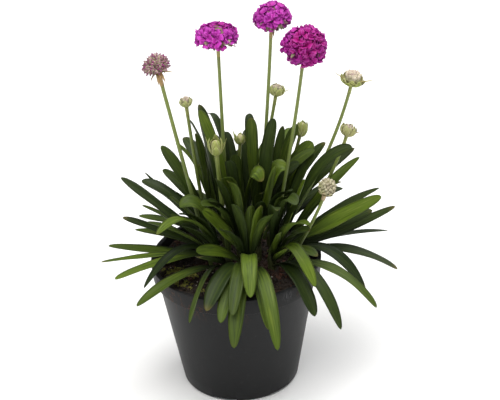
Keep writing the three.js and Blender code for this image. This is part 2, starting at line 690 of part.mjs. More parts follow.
function soilBody() {
    const ring = (radius, height) => Array.from({ length: SOIL_SIDES }, (_, k) => {
        const a = (2 * Math.PI * k) / SOIL_SIDES;
        const [x, y] = [radius * Math.cos(a), radius * Math.sin(a)];
        return new THREE.Vector3(x, y, height(x, y));
    });
    const lumpy = (x, y) => soilHeight(Math.hypot(x, y))
        + LUMP * Math.sin(0.45 * x + 0.9) * Math.cos(0.38 * y + 0.31 * x);
    const inside = (z) => wallRadius(z) - WALL - GAP;
    const level = (z) => () => z;
    const solidSoil = loft([
        ring(CHANNEL.inner - 1.3, level(WALL + GAP)), ring(CHANNEL.inner + 0.7, level(POT_FLOOR + GAP)),
        ring(inside(POT_FLOOR), level(POT_FLOOR + GAP)), ring(inside(SOIL_EDGE), level(SOIL_EDGE)),
        ...SOIL_RINGS.map((radius) => ring(radius, lumpy)),
    ]);
    const stems = [
        ...shoots.map(({ top }) => [top.x, top.y, CAUDEX_RADIUS]),
        ...FLOWERS.map(({ stations: [foot], stem }) => [foot.point.x, foot.point.y, stem ?? STEM_RADIUS]),
    ];
    return stems.reduce((body, [x, y, radius]) => {
        const wide = radius / Math.cos(Math.PI / BUD_SIDES) + GAP;
        const hole = turned([
            [0, STEM_FOOT - GAP], [wide, STEM_FOOT - GAP], [wide, POT_HEIGHT + 5], [0, POT_HEIGHT + 5],
        ], BUD_SIDES);
        return body.subtract(hole.translate(x, y, 0));
    }, solidSoil);
}

addPart('pot', makePot(), POT_GREY, 0.55);
addPart('soil', soilBody(), SOIL_BROWN, 0.95);

export default plant;
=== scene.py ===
import math

import bpy
import numpy as np
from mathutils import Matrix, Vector


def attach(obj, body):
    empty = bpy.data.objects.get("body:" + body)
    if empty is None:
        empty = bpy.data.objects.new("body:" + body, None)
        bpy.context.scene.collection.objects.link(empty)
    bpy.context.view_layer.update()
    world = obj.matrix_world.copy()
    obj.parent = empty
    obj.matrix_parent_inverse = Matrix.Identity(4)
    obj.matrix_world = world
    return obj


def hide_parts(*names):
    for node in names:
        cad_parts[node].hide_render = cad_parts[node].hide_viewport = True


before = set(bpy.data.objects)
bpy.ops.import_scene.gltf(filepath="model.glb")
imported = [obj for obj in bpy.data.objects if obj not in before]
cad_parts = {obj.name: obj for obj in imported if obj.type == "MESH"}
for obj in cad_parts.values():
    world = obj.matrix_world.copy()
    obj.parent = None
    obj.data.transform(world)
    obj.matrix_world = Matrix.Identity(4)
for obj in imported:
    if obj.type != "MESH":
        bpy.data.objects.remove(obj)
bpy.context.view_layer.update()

# The view: the plant as it was photographed, from the front and 30 degrees above, on a pale floor
# in a bright studio. The camera stands far off, so the pot hardly narrows away from it.

MM = 0.001
AIM = Vector((12.5, 0, 152.5)) * MM
ELEVATION = math.radians(30)
LEAN = math.radians(-2.5)
DISTANCE = 1.8
FOCAL_LENGTH = 172.3
camera = bpy.data.objects.new("camera", bpy.data.cameras.new("camera"))
bpy.context.scene.collection.objects.link(camera)
camera.location = AIM + DISTANCE * Vector((0, -math.cos(ELEVATION), math.sin(ELEVATION)))
camera.rotation_euler = (math.pi / 2 - ELEVATION, 0, 0)
camera.rotation_euler.rotate_axis("Z", LEAN)
camera.data.sensor_width = 36
camera.data.lens = FOCAL_LENGTH
bpy.context.scene.camera = camera
bpy.context.scene.view_settings.view_transform = "Standard"


def lamp(name, place, size, power, color=(1, 1, 1)):
    light = bpy.data.objects.new(name, bpy.data.lights.new(name, "AREA"))
    light.data.shape = "DISK"
    light.data.size = size
    light.data.energy = power
    light.data.color = color
    light.location = place
    light.rotation_euler = (Vector((0, 0, 0.15)) - Vector(place)).to_track_quat("-Z", "Y").to_euler()
    bpy.context.scene.collection.objects.link(light)


lamp("key_light", (-0.22, -0.42, 1.95), 2.0, 48, (1, 0.99, 0.97))
lamp("front_light", (-0.3, -1.7, 1.0), 1.2, 4, (0.98, 0.99, 1))
lamp("right_light", (1.0, 0.8, 1.3), 1.2, 15)
world = bpy.data.worlds.new("studio")
world.use_nodes = True
world.node_tree.nodes["Background"].inputs["Color"].default_value = (1, 1, 1, 1)
world.node_tree.nodes["Background"].inputs["Strength"].default_value = 0.36
bpy.context.scene.world = world

# The pot: a thin-walled nursery pot moulded in black recycled plastic, with a folded rim, an open
# groove behind it, a raised channel with drain holes in its base and notches in its foot. The edge
# of a disc is drawn out and up ring by ring, and the holes and notches are cut out of the shell.


class Signal:
    """A shader value that can be reckoned with: each sum adds its Math node."""

    def __init__(self, finish, socket):
        self.finish, self.socket = finish, socket

    def math(self, operation, *terms):
        return self.finish.node("ShaderNodeMath", dict(enumerate(terms)), operation=operation)

    def __add__(self, other):
        return self.math("ADD", self, other)

    def __mul__(self, other):
        return self.math("MULTIPLY", self, other)

    def __sub__(self, other):
        return self.math("SUBTRACT", self, other)

    def __rsub__(self, other):
        return self.math("SUBTRACT", other, self)

    def __abs__(self):
        return self.math("ABSOLUTE", self)

    __radd__ = __add__
    __rmul__ = __mul__

    def wave(self, turns):
        """A sine of the value, from 0 to 1, with so many turns to each unit."""
        return self.math("SINE", self * (2 * math.pi * turns)) * 0.5 + 0.5

    def ramp(self, low, high):
        """0 at low and 1 at high, smooth between them; low may be the higher one."""
        start, end, first, last = (low, high, 0.0, 1.0) if low < high else (high, low, 1.0, 0.0)
        sockets = {0: self, 1: start, 2: end, 3: first, 4: last}
        return self.finish.node("ShaderNodeMapRange", sockets, interpolation_type="SMOOTHSTEP")

    def parts(self):
        """The three numbers of a vector or colour."""
        split = self.finish.node("ShaderNodeSeparateXYZ", {0: self}).socket.node
        return [Signal(self.finish, socket) for socket in split.outputs]


class Finish:
    """A material in the making."""

    def __init__(self, name):
        self.material = bpy.data.materials.new(name)
        self.material.use_nodes = True
        self.nodes = self.material.node_tree.nodes
        self.links = self.material.node_tree.links
        self.nodes.clear()

    def node(self, kind, inputs=None, output=0, **settings):
        made = self.nodes.new(kind)
        for key, value in settings.items():
            setattr(made, key, value)
        for key, value in (inputs or {}).items():
            if isinstance(value, Signal):
                self.links.new(value.socket, made.inputs[key])
            elif made.inputs[key].type == "RGBA":
                made.inputs[key].default_value = (*value, 1)
            else:
                made.inputs[key].default_value = value
        return Signal(self, made.outputs[output]) if made.outputs else None

    def place(self):
        return self.node("ShaderNodeTexCoord", output="Object")

    def on_bit(self):
        """How far along its bit a point lies, and how far round or across it."""
        return self.node("ShaderNodeUVMap").parts()[:2]

    def tone(self):
        """The three tones that a bit was given."""
        return self.node("ShaderNodeAttribute", attribute_name="tone").parts()

    def mix(self, share, first, second):
        return self.node("ShaderNodeMix", {0: share, 6: first, 7: second}, 2, data_type="RGBA")

    def coats(self, color, *tints):
        """A colour with tints laid over it in turn, each by its own share."""
        for share, tint in tints:
            color = self.mix(share, color, tint)
        return color

    def noise(self, place, scale, detail=3.0, roughness=0.5):
        sockets = {"Vector": place, "Scale": scale, "Detail": detail, "Roughness": roughness}
        return self.node("ShaderNodeTexNoise", sockets)

    def stretch(self, place, scale):
        return self.node("ShaderNodeMapping", {"Vector": place, "Scale": scale})

    def bump(self, height, strength, distance, normal=None):
        sockets = {"Height": height, "Strength": strength, "Distance": distance}
        if normal:
            sockets["Normal"] = normal
        return self.node("ShaderNodeBump", sockets)

    def near(self, place, spot, reach):
        """1 at a spot and 0 from so far away, both in mm."""
        spot = [value * MM for value in spot]
        away = self.node("ShaderNodeVectorMath", {0: place, 1: spot}, 1, operation="DISTANCE")
        return away.ramp(reach * MM, 0)

    def surface(self, through=0.0, **sockets):
        """The finish as a Principled surface; a share of the light may pass through to the far side."""
        inputs = {}
        for key, value in sockets.items():
            inputs[key.replace("_", " ").title().replace("Ior", "IOR")] = value
        shader = self.node("ShaderNodeBsdfPrincipled", inputs)
        if through:
            behind = self.node("ShaderNodeBsdfTranslucent", {"Color": inputs["Base Color"]})
            shader = self.node("ShaderNodeMixShader", {0: through, 1: shader, 2: behind})
        self.node("ShaderNodeOutputMaterial", {"Surface": shader})
        return self.material


def settle_piece(piece, name, material, slot, *nodes):
    """Names and finishes a piece, and puts it in the place of the CAD nodes that it stands for."""
    piece.name = piece.data.name = name
    piece.data.materials.clear()
    piece.data.materials.append(material)
    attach(piece, "root")
    if nodes:
        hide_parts(*nodes)


def deselect():
    if bpy.context.mode != "OBJECT":
        bpy.ops.object.mode_set(mode="OBJECT")
    bpy.ops.object.select_all(action="DESELECT")


def drawn_up(sides, radius, height, profile):
    """A round closed body: a disc whose edge is drawn to each [radius, height] in mm in turn."""
    deselect()
    bpy.ops.mesh.primitive_circle_add(
        vertices=sides, radius=radius * MM, fill_type="TRIFAN", location=(0, 0, height * MM))
    bpy.ops.object.transform_apply(location=True)
    body = bpy.context.object
    bpy.ops.object.mode_set(mode="EDIT")
    bpy.ops.mesh.select_all(action="SELECT")
    bpy.ops.mesh.region_to_loop()
    for wider, higher in profile:
        bpy.ops.mesh.extrude_region_move(TRANSFORM_OT_translate={"value": (0, 0, (higher - height) * MM)})
        grow = wider / radius
        bpy.ops.transform.resize(value=(grow, grow, 1), center_override=(0, 0, higher * MM))
        radius, height = wider, higher
    bpy.ops.mesh.edge_face_add()
    bpy.ops.mesh.poke()
    bpy.ops.mesh.select_all(action="SELECT")
    bpy.ops.mesh.normals_make_consistent(inside=False)
    deselect()
    return body


def apply_modifiers(piece):
    deselect()
    piece.select_set(True)
    bpy.context.view_layer.objects.active = piece
    for modifier in list(piece.modifiers):
        bpy.ops.object.modifier_apply(modifier=modifier.name)


POT_HEIGHT = 104
RIM_RADIUS = 65
RIM_FOOT = 91
WALL = 1.4
FLOOR = 3.7
FOOT_RADIUS = 43.5
BODY_FOOT, BODY_TOP, BODY_TOP_RADIUS = 2, 90, 60.5
CHANNEL_INNER, CHANNEL_OUTER, CHANNEL_RISE = 26, 36, 2.2
DRAIN_HOLES, DRAIN_RADIUS = 8, 4
FOOT_NOTCHES, NOTCH_WIDTH = 6, 19


def wall_radius(z):
    widens = BODY_TOP_RADIUS - FOOT_RADIUS - 1
    return FOOT_RADIUS + 1 + widens * (z - BODY_FOOT) / (BODY_TOP - BODY_FOOT)


def round_the_base(count, start, radius, height):
    """Angles and places that go round the pot's axis in equal steps, from a start in degrees."""
    for k in range(count):
        angle = math.radians(start + 360 / count * k)
        yield angle, [radius * math.cos(angle) * MM, radius * math.sin(angle) * MM, height * MM]


pot = drawn_up(144, CHANNEL_INNER - 1, 0, [
    (CHANNEL_INNER + 1, CHANNEL_RISE), (CHANNEL_OUTER - 1, CHANNEL_RISE), (CHANNEL_OUTER + 1, 0),
    (FOOT_RADIUS - 0.6, 0), (FOOT_RADIUS, 0.5), (wall_radius(2), 2), (wall_radius(12), 12),
    (wall_radius(50), 50), (wall_radius(RIM_FOOT), RIM_FOOT), (wall_radius(POT_HEIGHT - 2), POT_HEIGHT - 2),
    (RIM_RADIUS - 1.3, POT_HEIGHT - 2), (RIM_RADIUS - 2.3, RIM_FOOT), (RIM_RADIUS - 1.6, RIM_FOOT - 0.3),
    (RIM_RADIUS - 1, RIM_FOOT + 0.2), (RIM_RADIUS, POT_HEIGHT - 1.2), (RIM_RADIUS - 0.2, POT_HEIGHT - 0.4),
    (RIM_RADIUS - 0.9, POT_HEIGHT), (wall_radius(POT_HEIGHT) - WALL + 0.6, POT_HEIGHT),
    (wall_radius(POT_HEIGHT) - WALL, POT_HEIGHT - 0.6), (wall_radius(FLOOR + 2) - WALL, FLOOR + 2),
    (wall_radius(FLOOR) - WALL - 2, FLOOR), (CHANNEL_INNER + 1, FLOOR), (CHANNEL_INNER - 1, WALL),
])
cutters = []
for _, place in round_the_base(DRAIN_HOLES, 22.5, (CHANNEL_INNER + CHANNEL_OUTER) / 2, 2):
    bpy.ops.mesh.primitive_cylinder_add(vertices=32, radius=DRAIN_RADIUS * MM, depth=12 * MM, location=place)
    cutters.append(bpy.context.object)
for angle, place in round_the_base(FOOT_NOTCHES, -108, FOOT_RADIUS - 2.5, 0):
    bpy.ops.mesh.primitive_cube_add(size=1, location=place, rotation=(0, 0, angle))
    bpy.ops.transform.resize(value=(12 * MM, NOTCH_WIDTH * MM, 4 * MM), orient_type="LOCAL")
    cutters.append(bpy.context.object)
deselect()
for cutter in cutters:
    cutter.select_set(True)
bpy.context.view_layer.objects.active = cutters[0]
bpy.ops.object.join()
bpy.ops.object.transform_apply(location=True, rotation=True, scale=True)
cutter = bpy.context.object
cut = pot.modifiers.new("cut", "BOOLEAN")
cut.operation, cut.solver, cut.object = "DIFFERENCE", "EXACT", cutter
apply_modifiers(pot)
bpy.data.objects.remove(cutter)
pot.select_set(True)
bpy.ops.object.shade_smooth_by_angle(angle=math.radians(32))

plastic = Finish("pot_plastic")
place = plastic.place()
height = place.parts()[2]
cloudy = plastic.noise(place, 22, 4, 0.55)
grain = plastic.noise(place, 900, 2, 0.6)
dust = plastic.noise(place, 160, 5, 0.7).ramp(0.56, 0.78)
smears = plastic.noise(plastic.stretch(place, (1, 1, 0.35)), 130, 4, 0.65).ramp(0.55, 0.66)
smears = smears * height.ramp(0.066, 0.098) * plastic.noise(place, 24, 2).ramp(0.42, 0.62)
spilt = plastic.near(place, (-46, -43, 94), 22) + plastic.near(place, (-30, -55, 90), 14)
spilt = spilt * plastic.noise(plastic.stretch(place, (1, 1, 0.45)), 190, 5, 0.75).ramp(0.47, 0.56)
rubbed = plastic.noise(plastic.stretch(place, (4, 4, 0.6)), 420, 3).ramp(0.45, 0.6)
rubbed = rubbed * plastic.near(place, (38, -53, 99), 7)
stain = plastic.near(place, (1.2, -46, 22.8), 2.6) + plastic.near(place, (-1, -46, 19.5), 1.4)
scratches = plastic.noise(plastic.stretch(place, (6, 6, 0.5)), 170, 3, 0.6).ramp(0.66, 0.74)
loose_soil = plastic.mix(grain.ramp(0.4, 0.65), (0.006, 0.004, 0.003), (0.085, 0.036, 0.018))
fine = plastic.bump(grain, 0.25, 0.0002)
plastic_material = plastic.surface(
    base_color=plastic.coats(
        plastic.mix(cloudy, (0.0078, 0.0082, 0.0087), (0.0122, 0.0127, 0.0132)),
        (dust * 0.20, (0.045, 0.044, 0.043)),
        (scratches * 0.16, (0.055, 0.055, 0.056)),
        (smears * 0.7, (0.040, 0.026, 0.016)),
        (spilt * 0.8, loose_soil),
        (rubbed * 0.5, (0.120, 0.120, 0.125)),
        (stain * 0.5, (0.085, 0.022, 0.012)),
    ),
    roughness=cloudy * 0.14 + smears * 0.25 + 0.40,
    specular_ior_level=0.16,
    normal=plastic.bump(smears + dust * 0.3, 0.4, 0.0004, fine),
)
settle_piece(pot, "nursery_pot", plastic_material, "pot_plastic", "pot")

# The soil: damp dark peat compost that fills the pot to just under its rim, domed in the middle and
# heaped a little at the front left. Its body is drawn up as the pot's is, and its top made lumpy.
# Crumbs, bark, root fibres and pale grains lie on it, with moss in tufts.

GAP = 0.3
SOIL_EDGE = 97.5
SOIL_DOME = 3.5
DOME_REACH = 61
LOOSE_REACH = 58
HEAP = 4.2
HEAP_TOWARD = math.radians(245)
dice = np.random.RandomState(5)


def unit(v):
    return v / np.sqrt((v * v).sum(axis=-1, keepdims=True))


class Gathering:
    """Many like bits that become one mesh; each point has its place on its bit and its bit's tone."""

    def __init__(self):
        self.points, self.faces, self.places, self.tones = [], [], [], []
        self.count = 0

    def add(self, rings, places, tone):
        """A closed skin through rings of points, all of one count, with its two ends closed."""
        rings = np.asarray(rings, float)
        length, around = rings.shape[:2]
        index = np.arange(length * around).reshape(length, around)
        turned = np.roll(index, -1, axis=1)
        quads = np.stack([index[:-1], turned[:-1], turned[1:], index[1:]], axis=-1).reshape(-1, 4)
        faces = quads.tolist() + [list(index[0][::-1]), list(index[-1])]
        flat = rings.reshape(-1, 3)
        a, b, c, d = ((flat - flat.mean(axis=0))[quads[:, k]] for k in range(4))
        if (np.cross(a, b) * c).sum() + (np.cross(a, c) * d).sum() < 0:
            faces = [face[::-1] for face in faces]
        self.faces += [[corner + self.count for corner in face] for face in faces]
        self.points.append(flat)
        self.places.append(np.broadcast_to(places, (length, around, 2)).reshape(-1, 2))
        self.tones.append(np.broadcast_to((*tone, 1.0), (len(flat), 4)))
        self.count += len(flat)

    def settle(self, name, material, slot, *nodes):
        """Makes the finished piece, in metres, with a UV map and the attribute tone."""
        mesh = bpy.data.meshes.new(name)
        mesh.from_pydata(np.vstack(self.points) * MM, [], self.faces)
        corners = np.empty(len(mesh.loops), int)
        mesh.loops.foreach_get("vertex_index", corners)
        mesh.uv_layers.new(name="place").data.foreach_set("uv", np.vstack(self.places)[corners].ravel())
        tone = mesh.attributes.new("tone", "FLOAT_COLOR", "POINT")
        tone.data.foreach_set("color", np.vstack(self.tones).ravel())
        mesh.shade_smooth()
        made = bpy.data.objects.new(name, mesh)
        bpy.context.scene.collection.objects.link(made)
        settle_piece(made, name, material, slot, *nodes)


def grid(rows, columns):
    """The place of each point: how far along its bit, and how far round or across it."""
    return np.stack(np.meshgrid(rows, columns, indexing="ij"), axis=-1)


def square_to(direction):
    """Two directions square to a given one, turned at random about it."""
    helper = np.array([0, 0, 1.0]) if abs(direction[2]) < 0.9 else np.array([1.0, 0, 0])
    first = unit(np.cross(helper, direction))
    second = np.cross(direction, first)
    turn = dice.uniform(0, 2 * math.pi)
    return first * math.cos(turn) + second * math.sin(turn), second * math.cos(turn) - first * math.sin(turn)


def rings_round(line, first, second, reach, sides):
    """A ring of corners round each point of a line, at their reach along two directions."""
    angles = 2 * math.pi * np.arange(sides) / sides
    first, second = np.atleast_2d(first)[:, None], np.atleast_2d(second)[:, None]
    return (line[:, None] + first * (reach * np.cos(angles))[..., None]
            + second * (reach * np.sin(angles))[..., None])


def inside(z):
    return wall_radius(z) - WALL - GAP


def dome_height(radius):
    """How high the soil's dome stands, so far from the pot's axis."""
    return SOIL_EDGE + SOIL_DOME * np.cos(math.pi / 2 * np.minimum(1, radius / DOME_REACH))


soil = drawn_up(120, CHANNEL_INNER - 1.3, WALL + GAP, [
    (CHANNEL_INNER + 0.7, FLOOR + GAP), (inside(FLOOR), FLOOR + GAP),
    (inside(50), 50), (inside(SOIL_EDGE), SOIL_EDGE),
    *((radius, dome_height(radius)) for radius in np.linspace(58.5, 1.5, 36)),
])
for vertex in soil.data.vertices:
    x, y, z = vertex.co / MM
    if z > SOIL_EDGE - 1:
        facing = max(0, math.cos(math.atan2(y, x) - HEAP_TOWARD)) ** 0.7
        vertex.co.z += HEAP * MM * facing * np.interp(math.hypot(x, y), [38, 57], [0, 1])
surface = soil.vertex_groups.new(name="surface")
surface.add([v.index for v in soil.data.vertices if v.co.z > (SOIL_EDGE - 1) * MM], 1, "REPLACE")
for lump_size, lump_height in [(9, 3.2), (2.6, 1.6)]:
    lumps = bpy.data.textures.new("lumps", "CLOUDS")
    lumps.noise_scale = lump_size * MM
    lumpy = soil.modifiers.new("lumpy", "DISPLACE")
    lumpy.texture, lumpy.strength, lumpy.direction = lumps, lump_height * MM, "Z"
    lumpy.vertex_group = "surface"
apply_modifiers(soil)
soil.select_set(True)
bpy.ops.object.shade_smooth()

earth = Finish("damp_peat")
red, pale, _ = earth.tone()
place = earth.place()
clods = earth.noise(place, 140, 5, 0.65)
grit = earth.noise(place, 1100, 3, 0.7)
ruddy = earth.noise(place, 60, 3, 0.6).ramp(0.52, 0.66)
earth_material = earth.surface(
    base_color=earth.coats(
        earth.mix(clods, (0.006, 0.0042, 0.003), (0.030, 0.019, 0.012)),
        (ruddy * 0.6, (0.046, 0.018, 0.010)),
        (grit.ramp(0.60, 0.75) * 0.5, (0.052, 0.038, 0.026)),
        (red, earth.mix(clods, (0.060, 0.018, 0.010), (0.130, 0.050, 0.026))),
        (pale, (0.470, 0.440, 0.390)),
    ),
    roughness=grit * 0.25 + 0.62,
    specular_ior_level=0.3,
    normal=earth.bump(clods + grit * 0.6, 0.7, 0.0009),
)
settle_piece(soil, "potting_soil", earth_material, "soil", "soil")

# Where the reddish crumbs and the moss lie thickest, each with its reach
RUDDY = [(-57, 28, 12), (34, -20, 10), (-40, -26, 6)]
MOSSY = [
    (-54, -17, 8), (-48, -26, 9), (-41, -36, 8), (-43, -13, 6),
    (-33, -20, 5), (-22, -46, 4), (20, 46, 8), (46, 30, 6),
]


def on_soil(x, y, above):
    """The point so far above the lumpy soil at a place, in mm."""
    _, spot, _, _ = soil.ray_cast(Vector((x * MM, y * MM, 0.2)), Vector((0, 0, -1)))
    return np.array([x, y, spot.z / MM + above])


def anywhere(reach=LOOSE_REACH):
    radius, turn = reach * math.sqrt(dice.uniform(0, 1)), dice.uniform(0, 2 * math.pi)
    return radius * math.cos(turn), radius * math.sin(turn)


def crumb_rings(middle, size, longer=1.0):
    """A rough grain, long one way when longer is over 1."""
    along = unit(dice.normal(0, 1, 3) * [1, 1, 0.5 if longer > 1 else 1])
    square = square_to(along)
    reach = size * np.array([0.45, 1, 0.95, 0.4])[:, None] * dice.uniform(0.75, 1.2, (4, 6))
    line = middle + along * (size * longer * np.array([-0.85, -0.35, 0.35, 0.85]))[:, None]
    return rings_round(line, *square, reach, 6)


def fibre_rings(start, heading, long, thick):
    """A fine root fibre that wanders from its start."""
    side = np.cross([0, 0, 1.0], heading)
    bend = dice.uniform(-0.6, 0.6)
    t = np.linspace(0, 1, 7)
    line = start + heading * (long * t)[:, None] + side * (long * bend * t * t)[:, None]
    line = line + dice.normal(0, long * 0.02, (7, 3))
    first = unit(np.cross(np.gradient(line, axis=0), [0, 0, 1.0]))
    second = unit(np.cross(np.gradient(line, axis=0), first))
    reach = thick * np.array([0.6, 1, 1, 1, 0.9, 0.7, 0.4])[:, None]
    return rings_round(line, first, second, reach, 5)


CRUMB_PLACES = grid([0, 0.3, 0.7, 1], np.arange(6) / 6)
FIBRE_PLACES = grid(np.linspace(0, 1, 7), np.arange(5) / 5)
CRUMBS, PALE_GRAINS, FIBRES = 2100, 46, 150
crumbs = Gathering()
for _ in range(CRUMBS):
    x, y = anywhere()
    size = min(2.2, 0.55 * math.exp(abs(dice.normal(0, 0.55))))
    near_red = max(math.exp(-((x - a) ** 2 + (y - b) ** 2) / r**2) for a, b, r in RUDDY)
    red_tone = np.clip(near_red * dice.uniform(0.2, 1.3) - 0.1 + (dice.uniform() > 0.94) * 0.5, 0, 1)
    middle = on_soil(x, y, size * dice.uniform(0.1, 0.6))
    crumbs.add(crumb_rings(middle, size, dice.choice([1, 1, 1.4, 2.2])), CRUMB_PLACES, (red_tone, 0, 0))
for _ in range(PALE_GRAINS):
    middle = on_soil(*anywhere(), 0.8)
    grain_rings = crumb_rings(middle, dice.uniform(0.35, 0.8))
    crumbs.add(grain_rings, CRUMB_PLACES, (0, dice.uniform(0.5, 1), 0))
for _ in range(FIBRES):
    start = on_soil(*anywhere(54), 0.7)
    turn = dice.uniform(0, 2 * math.pi)
    heading = np.array([math.cos(turn), math.sin(turn), dice.uniform(-0.05, 0.25)])
    fibre = fibre_rings(start, heading, dice.uniform(3, 9), dice.uniform(0.12, 0.3))
    crumbs.add(fibre, FIBRE_PLACES, (dice.uniform(0, 0.8), dice.choice([0, 0, 0.25]), 0))
crumbs.settle("soil_crumbs", earth_material, "soil")

moss = Finish("moss")
up_leaflet, _ = moss.on_bit()
dry, _, _ = moss.tone()
fuzz = moss.noise(moss.place(), 700, 3, 0.6)
moss_material = moss.surface(
    through=0.1,
    base_color=moss.coats(
        moss.mix(up_leaflet, (0.055, 0.060, 0.010), (0.400, 0.400, 0.070)),
        (dry, (0.150, 0.070, 0.028)),
        (fuzz * 0.4, (0.070, 0.085, 0.014)),
    ),
    roughness=fuzz * 0.2 + 0.6,
)
LEAFLET_PLACES = grid([0, 0.5, 1], np.arange(4) / 4)
tufts = Gathering()
for a, b, r in MOSSY:
    for _ in range(int(r * 6)):
        x, y = a + dice.normal(0, r * 0.42), b + dice.normal(0, r * 0.42)
        if math.hypot(x, y) > LOOSE_REACH:
            continue
        middle = on_soil(x, y, 0.4)
        dryness = max(0, dice.uniform(-0.8, 0.6))
        for direction in unit(dice.normal(0, 1, (11, 3)) * [1, 1, 0.6] + [0, 0, 0.9]):
            square = square_to(direction)
            reach = dice.uniform(0.2, 0.34) * np.array([0.7, 1, 0.1])[:, None]
            line = middle + direction * (dice.uniform(1.2, 2.2) * np.array([0, 0.5, 1]))[:, None]
            tufts.add(rings_round(line, *square, reach, 4), LEAFLET_PLACES, (dryness, 0, 0))
tufts.settle("moss_tufts", moss_material, "soil")

# The stems: thirteen bare flower stems, pale green and faintly ribbed, bowed between the foot in the
# soil and the head. Each is a skin through rings along its curve, and each row below gives where a
# head and the foot of its stem stand, which the leaves keep clear of.

CROWN_X, CROWN_Y = 10, 2
STEM_FOOT = SOIL_EDGE - 8
STEM_RADIUS = 1.25
STEM_SIDES = 12
BOW = 0.62
FLOWERS = [
    dict(kind="rosebud", head=(-51, -4, 271), foot=(202, 31), bow=0.5, radius=9.5, flat=0.85),
    dict(kind="bud", head=(-32, 16, 230), foot=(157, 31), radius=4.5, flat=0.9),
    dict(kind="bloom", head=(-6, 8, 287), foot=(157, 16), radius=15.5, flat=0.78, cover=102),
    dict(kind="bloom", head=(34, 12, 299), foot=(67, 16), radius=14.5, flat=0.85, cover=118),
    dict(kind="bloom", head=(57, -8, 284), foot=(-22, 16), radius=17, flat=0.93, cover=138),
    dict(kind="bud", head=(36, 30, 229), foot=(112, 16), radius=5.5, flat=0.8),
    dict(kind="bud", head=(92, 12, 245), foot=(22, 16), bow=0.74, radius=8.5, flat=0.6),
    dict(kind="bud", head=(89, 32, 191), foot=(22, 31), bow=0.7, radius=5.5, flat=0.8),
    dict(kind="bud", head=(70, -30, 178), foot=(-22, 31), radius=6.5, flat=1),
    dict(kind="green", head=(54, 36, 192), foot=(67, 31), radius=4, flat=1.5),
    dict(kind="green", head=(7, 28, 190), foot=(112, 31), radius=3.5, flat=1.2),
    dict(kind="green", head=(-11, -14, 207), foot=(202, 16), radius=4.5, flat=1.4, stem=1.7),
    dict(kind="green", head=(23, 8, 177), foot=(0, 0), radius=3, flat=1.4),
]
UNDERSIDE = {"bloom": 0.5, "rosebud": 0.66, "bud": 0.2, "green": 0.9}
SOCKET_ROOF = 2


def crown_point(angle, radius, z):
    a = math.radians(angle)
    return np.array([CROWN_X + radius * math.cos(a), CROWN_Y + radius * math.sin(a), z])


def arc(start, middle, end, t):
    """Points and directions of a curve with one control point, at the shares t of its length."""
    t = np.asarray(t, float)[:, None]
    points = start * (1 - t) ** 2 + middle * (2 * t * (1 - t)) + end * (t * t)
    return points, unit((middle - start) * (1 - t) + (end - middle) * t)


def stem_line(flower, steps):
    """Points, directions and sides along a stem, from its foot in the soil up."""
    foot = crown_point(*flower["foot"], SOIL_EDGE + SOIL_DOME)
    head = np.array(flower["head"], float)
    lean = head - foot
    bow = flower.get("bow", BOW)
    middle = foot + lean * np.array([bow, bow, 0.5])
    flower["along"] = unit(head - middle)
    flower["seat"] = flower["radius"] * flower["flat"] * UNDERSIDE[flower["kind"]] + GAP
    neck = head - flower["along"] * (flower["seat"] + (0 if flower["kind"] == "green" else SOCKET_ROOF + GAP))
    points, along = arc(foot, middle, neck, np.arange(steps + 1) / steps)
    points = np.vstack([[foot[0], foot[1], STEM_FOOT], points])
    along = np.vstack([[0, 0, 1], along])
    side = unit(np.array([1.0, 0, 0]) - along * along[:, :1])
    return points, along, side


def tube(points, along, side, radii, sides):
    """Rings round a line, with a faint rib at every second corner."""
    reach = np.asarray(radii)[:, None] * np.where(np.arange(sides) % 2, 0.95, 1.0)
    return rings_round(points, side, np.cross(along, side), reach, sides)


stem = Finish("stem_green")
up_stem, round_stem = stem.on_bit()
ribs = round_stem.wave(8)
specks = stem.noise(stem.place(), 260, 4, 0.6)
stem_material = stem.surface(
    base_color=stem.coats(
        stem.mix(up_stem.ramp(0.15, 0.80), (0.066, 0.102, 0.018), (0.190, 0.245, 0.042)),
        (up_stem.ramp(0.86, 1.0), (0.300, 0.340, 0.090)),
        (specks.ramp(0.35, 0.75) * 0.35, (0.115, 0.115, 0.035)),
        (ribs * 0.25, (0.045, 0.080, 0.018)),
    ),
    roughness=specks * 0.15 + 0.42,
    normal=stem.bump(ribs + specks * 0.4, 0.35, 0.0003),
)
for number, flower in enumerate(FLOWERS, 1):
    flower["name"] = name = f"{number:02d}"
    line = stem_line(flower, 30)
    thick = flower.get("stem", STEM_RADIUS) + (0.35 if flower["kind"] == "rosebud" else 0.2)
    up = np.linspace(0, 1, len(line[0]))
    radii = np.interp(up, [0, 0.1, 0.9, 1], [thick, thick, thick * 0.86, thick * 0.95])
    bits = Gathering()
    bits.add(tube(*line, radii, STEM_SIDES), grid(up, np.arange(STEM_SIDES) / STEM_SIDES), (0, 0, 0))
    bits.settle("flower_stem_" + name, stem_material, "stem", "stem_" + name)

# The leaves: a cushion of long strap leaves in twelve shoots, dark satin green, each narrow at the
# root, broadest past the middle, hollowed along the midrib with pale bands of painted highlight beside
# it, and bluntly pointed. Their tips are placed as on the plant or drawn at random, and each swings
# until it is clear of what stands there.

LEAFY_LENGTH = 8
SHOOT_RADIUS = 3
BLADE_THICKNESS = 0.8
INNER = ["inner_front_right", "inner_back_right", "inner_back_left", "inner_front_left"]
RING = ["front", "front_right", "right", "back_right", "back", "back_left", "left", "front_left"]
SHOOTS = []
for names, start, step, from_crown, height in [(INNER, -45, 90, 9, 117), (RING, -90, 45, 24, 112)]:
    for k, name in enumerate(names):
        angle = start + step * k
        SHOOTS.append(dict(name=name, angle=angle, top=crown_point(angle, from_crown, height)))
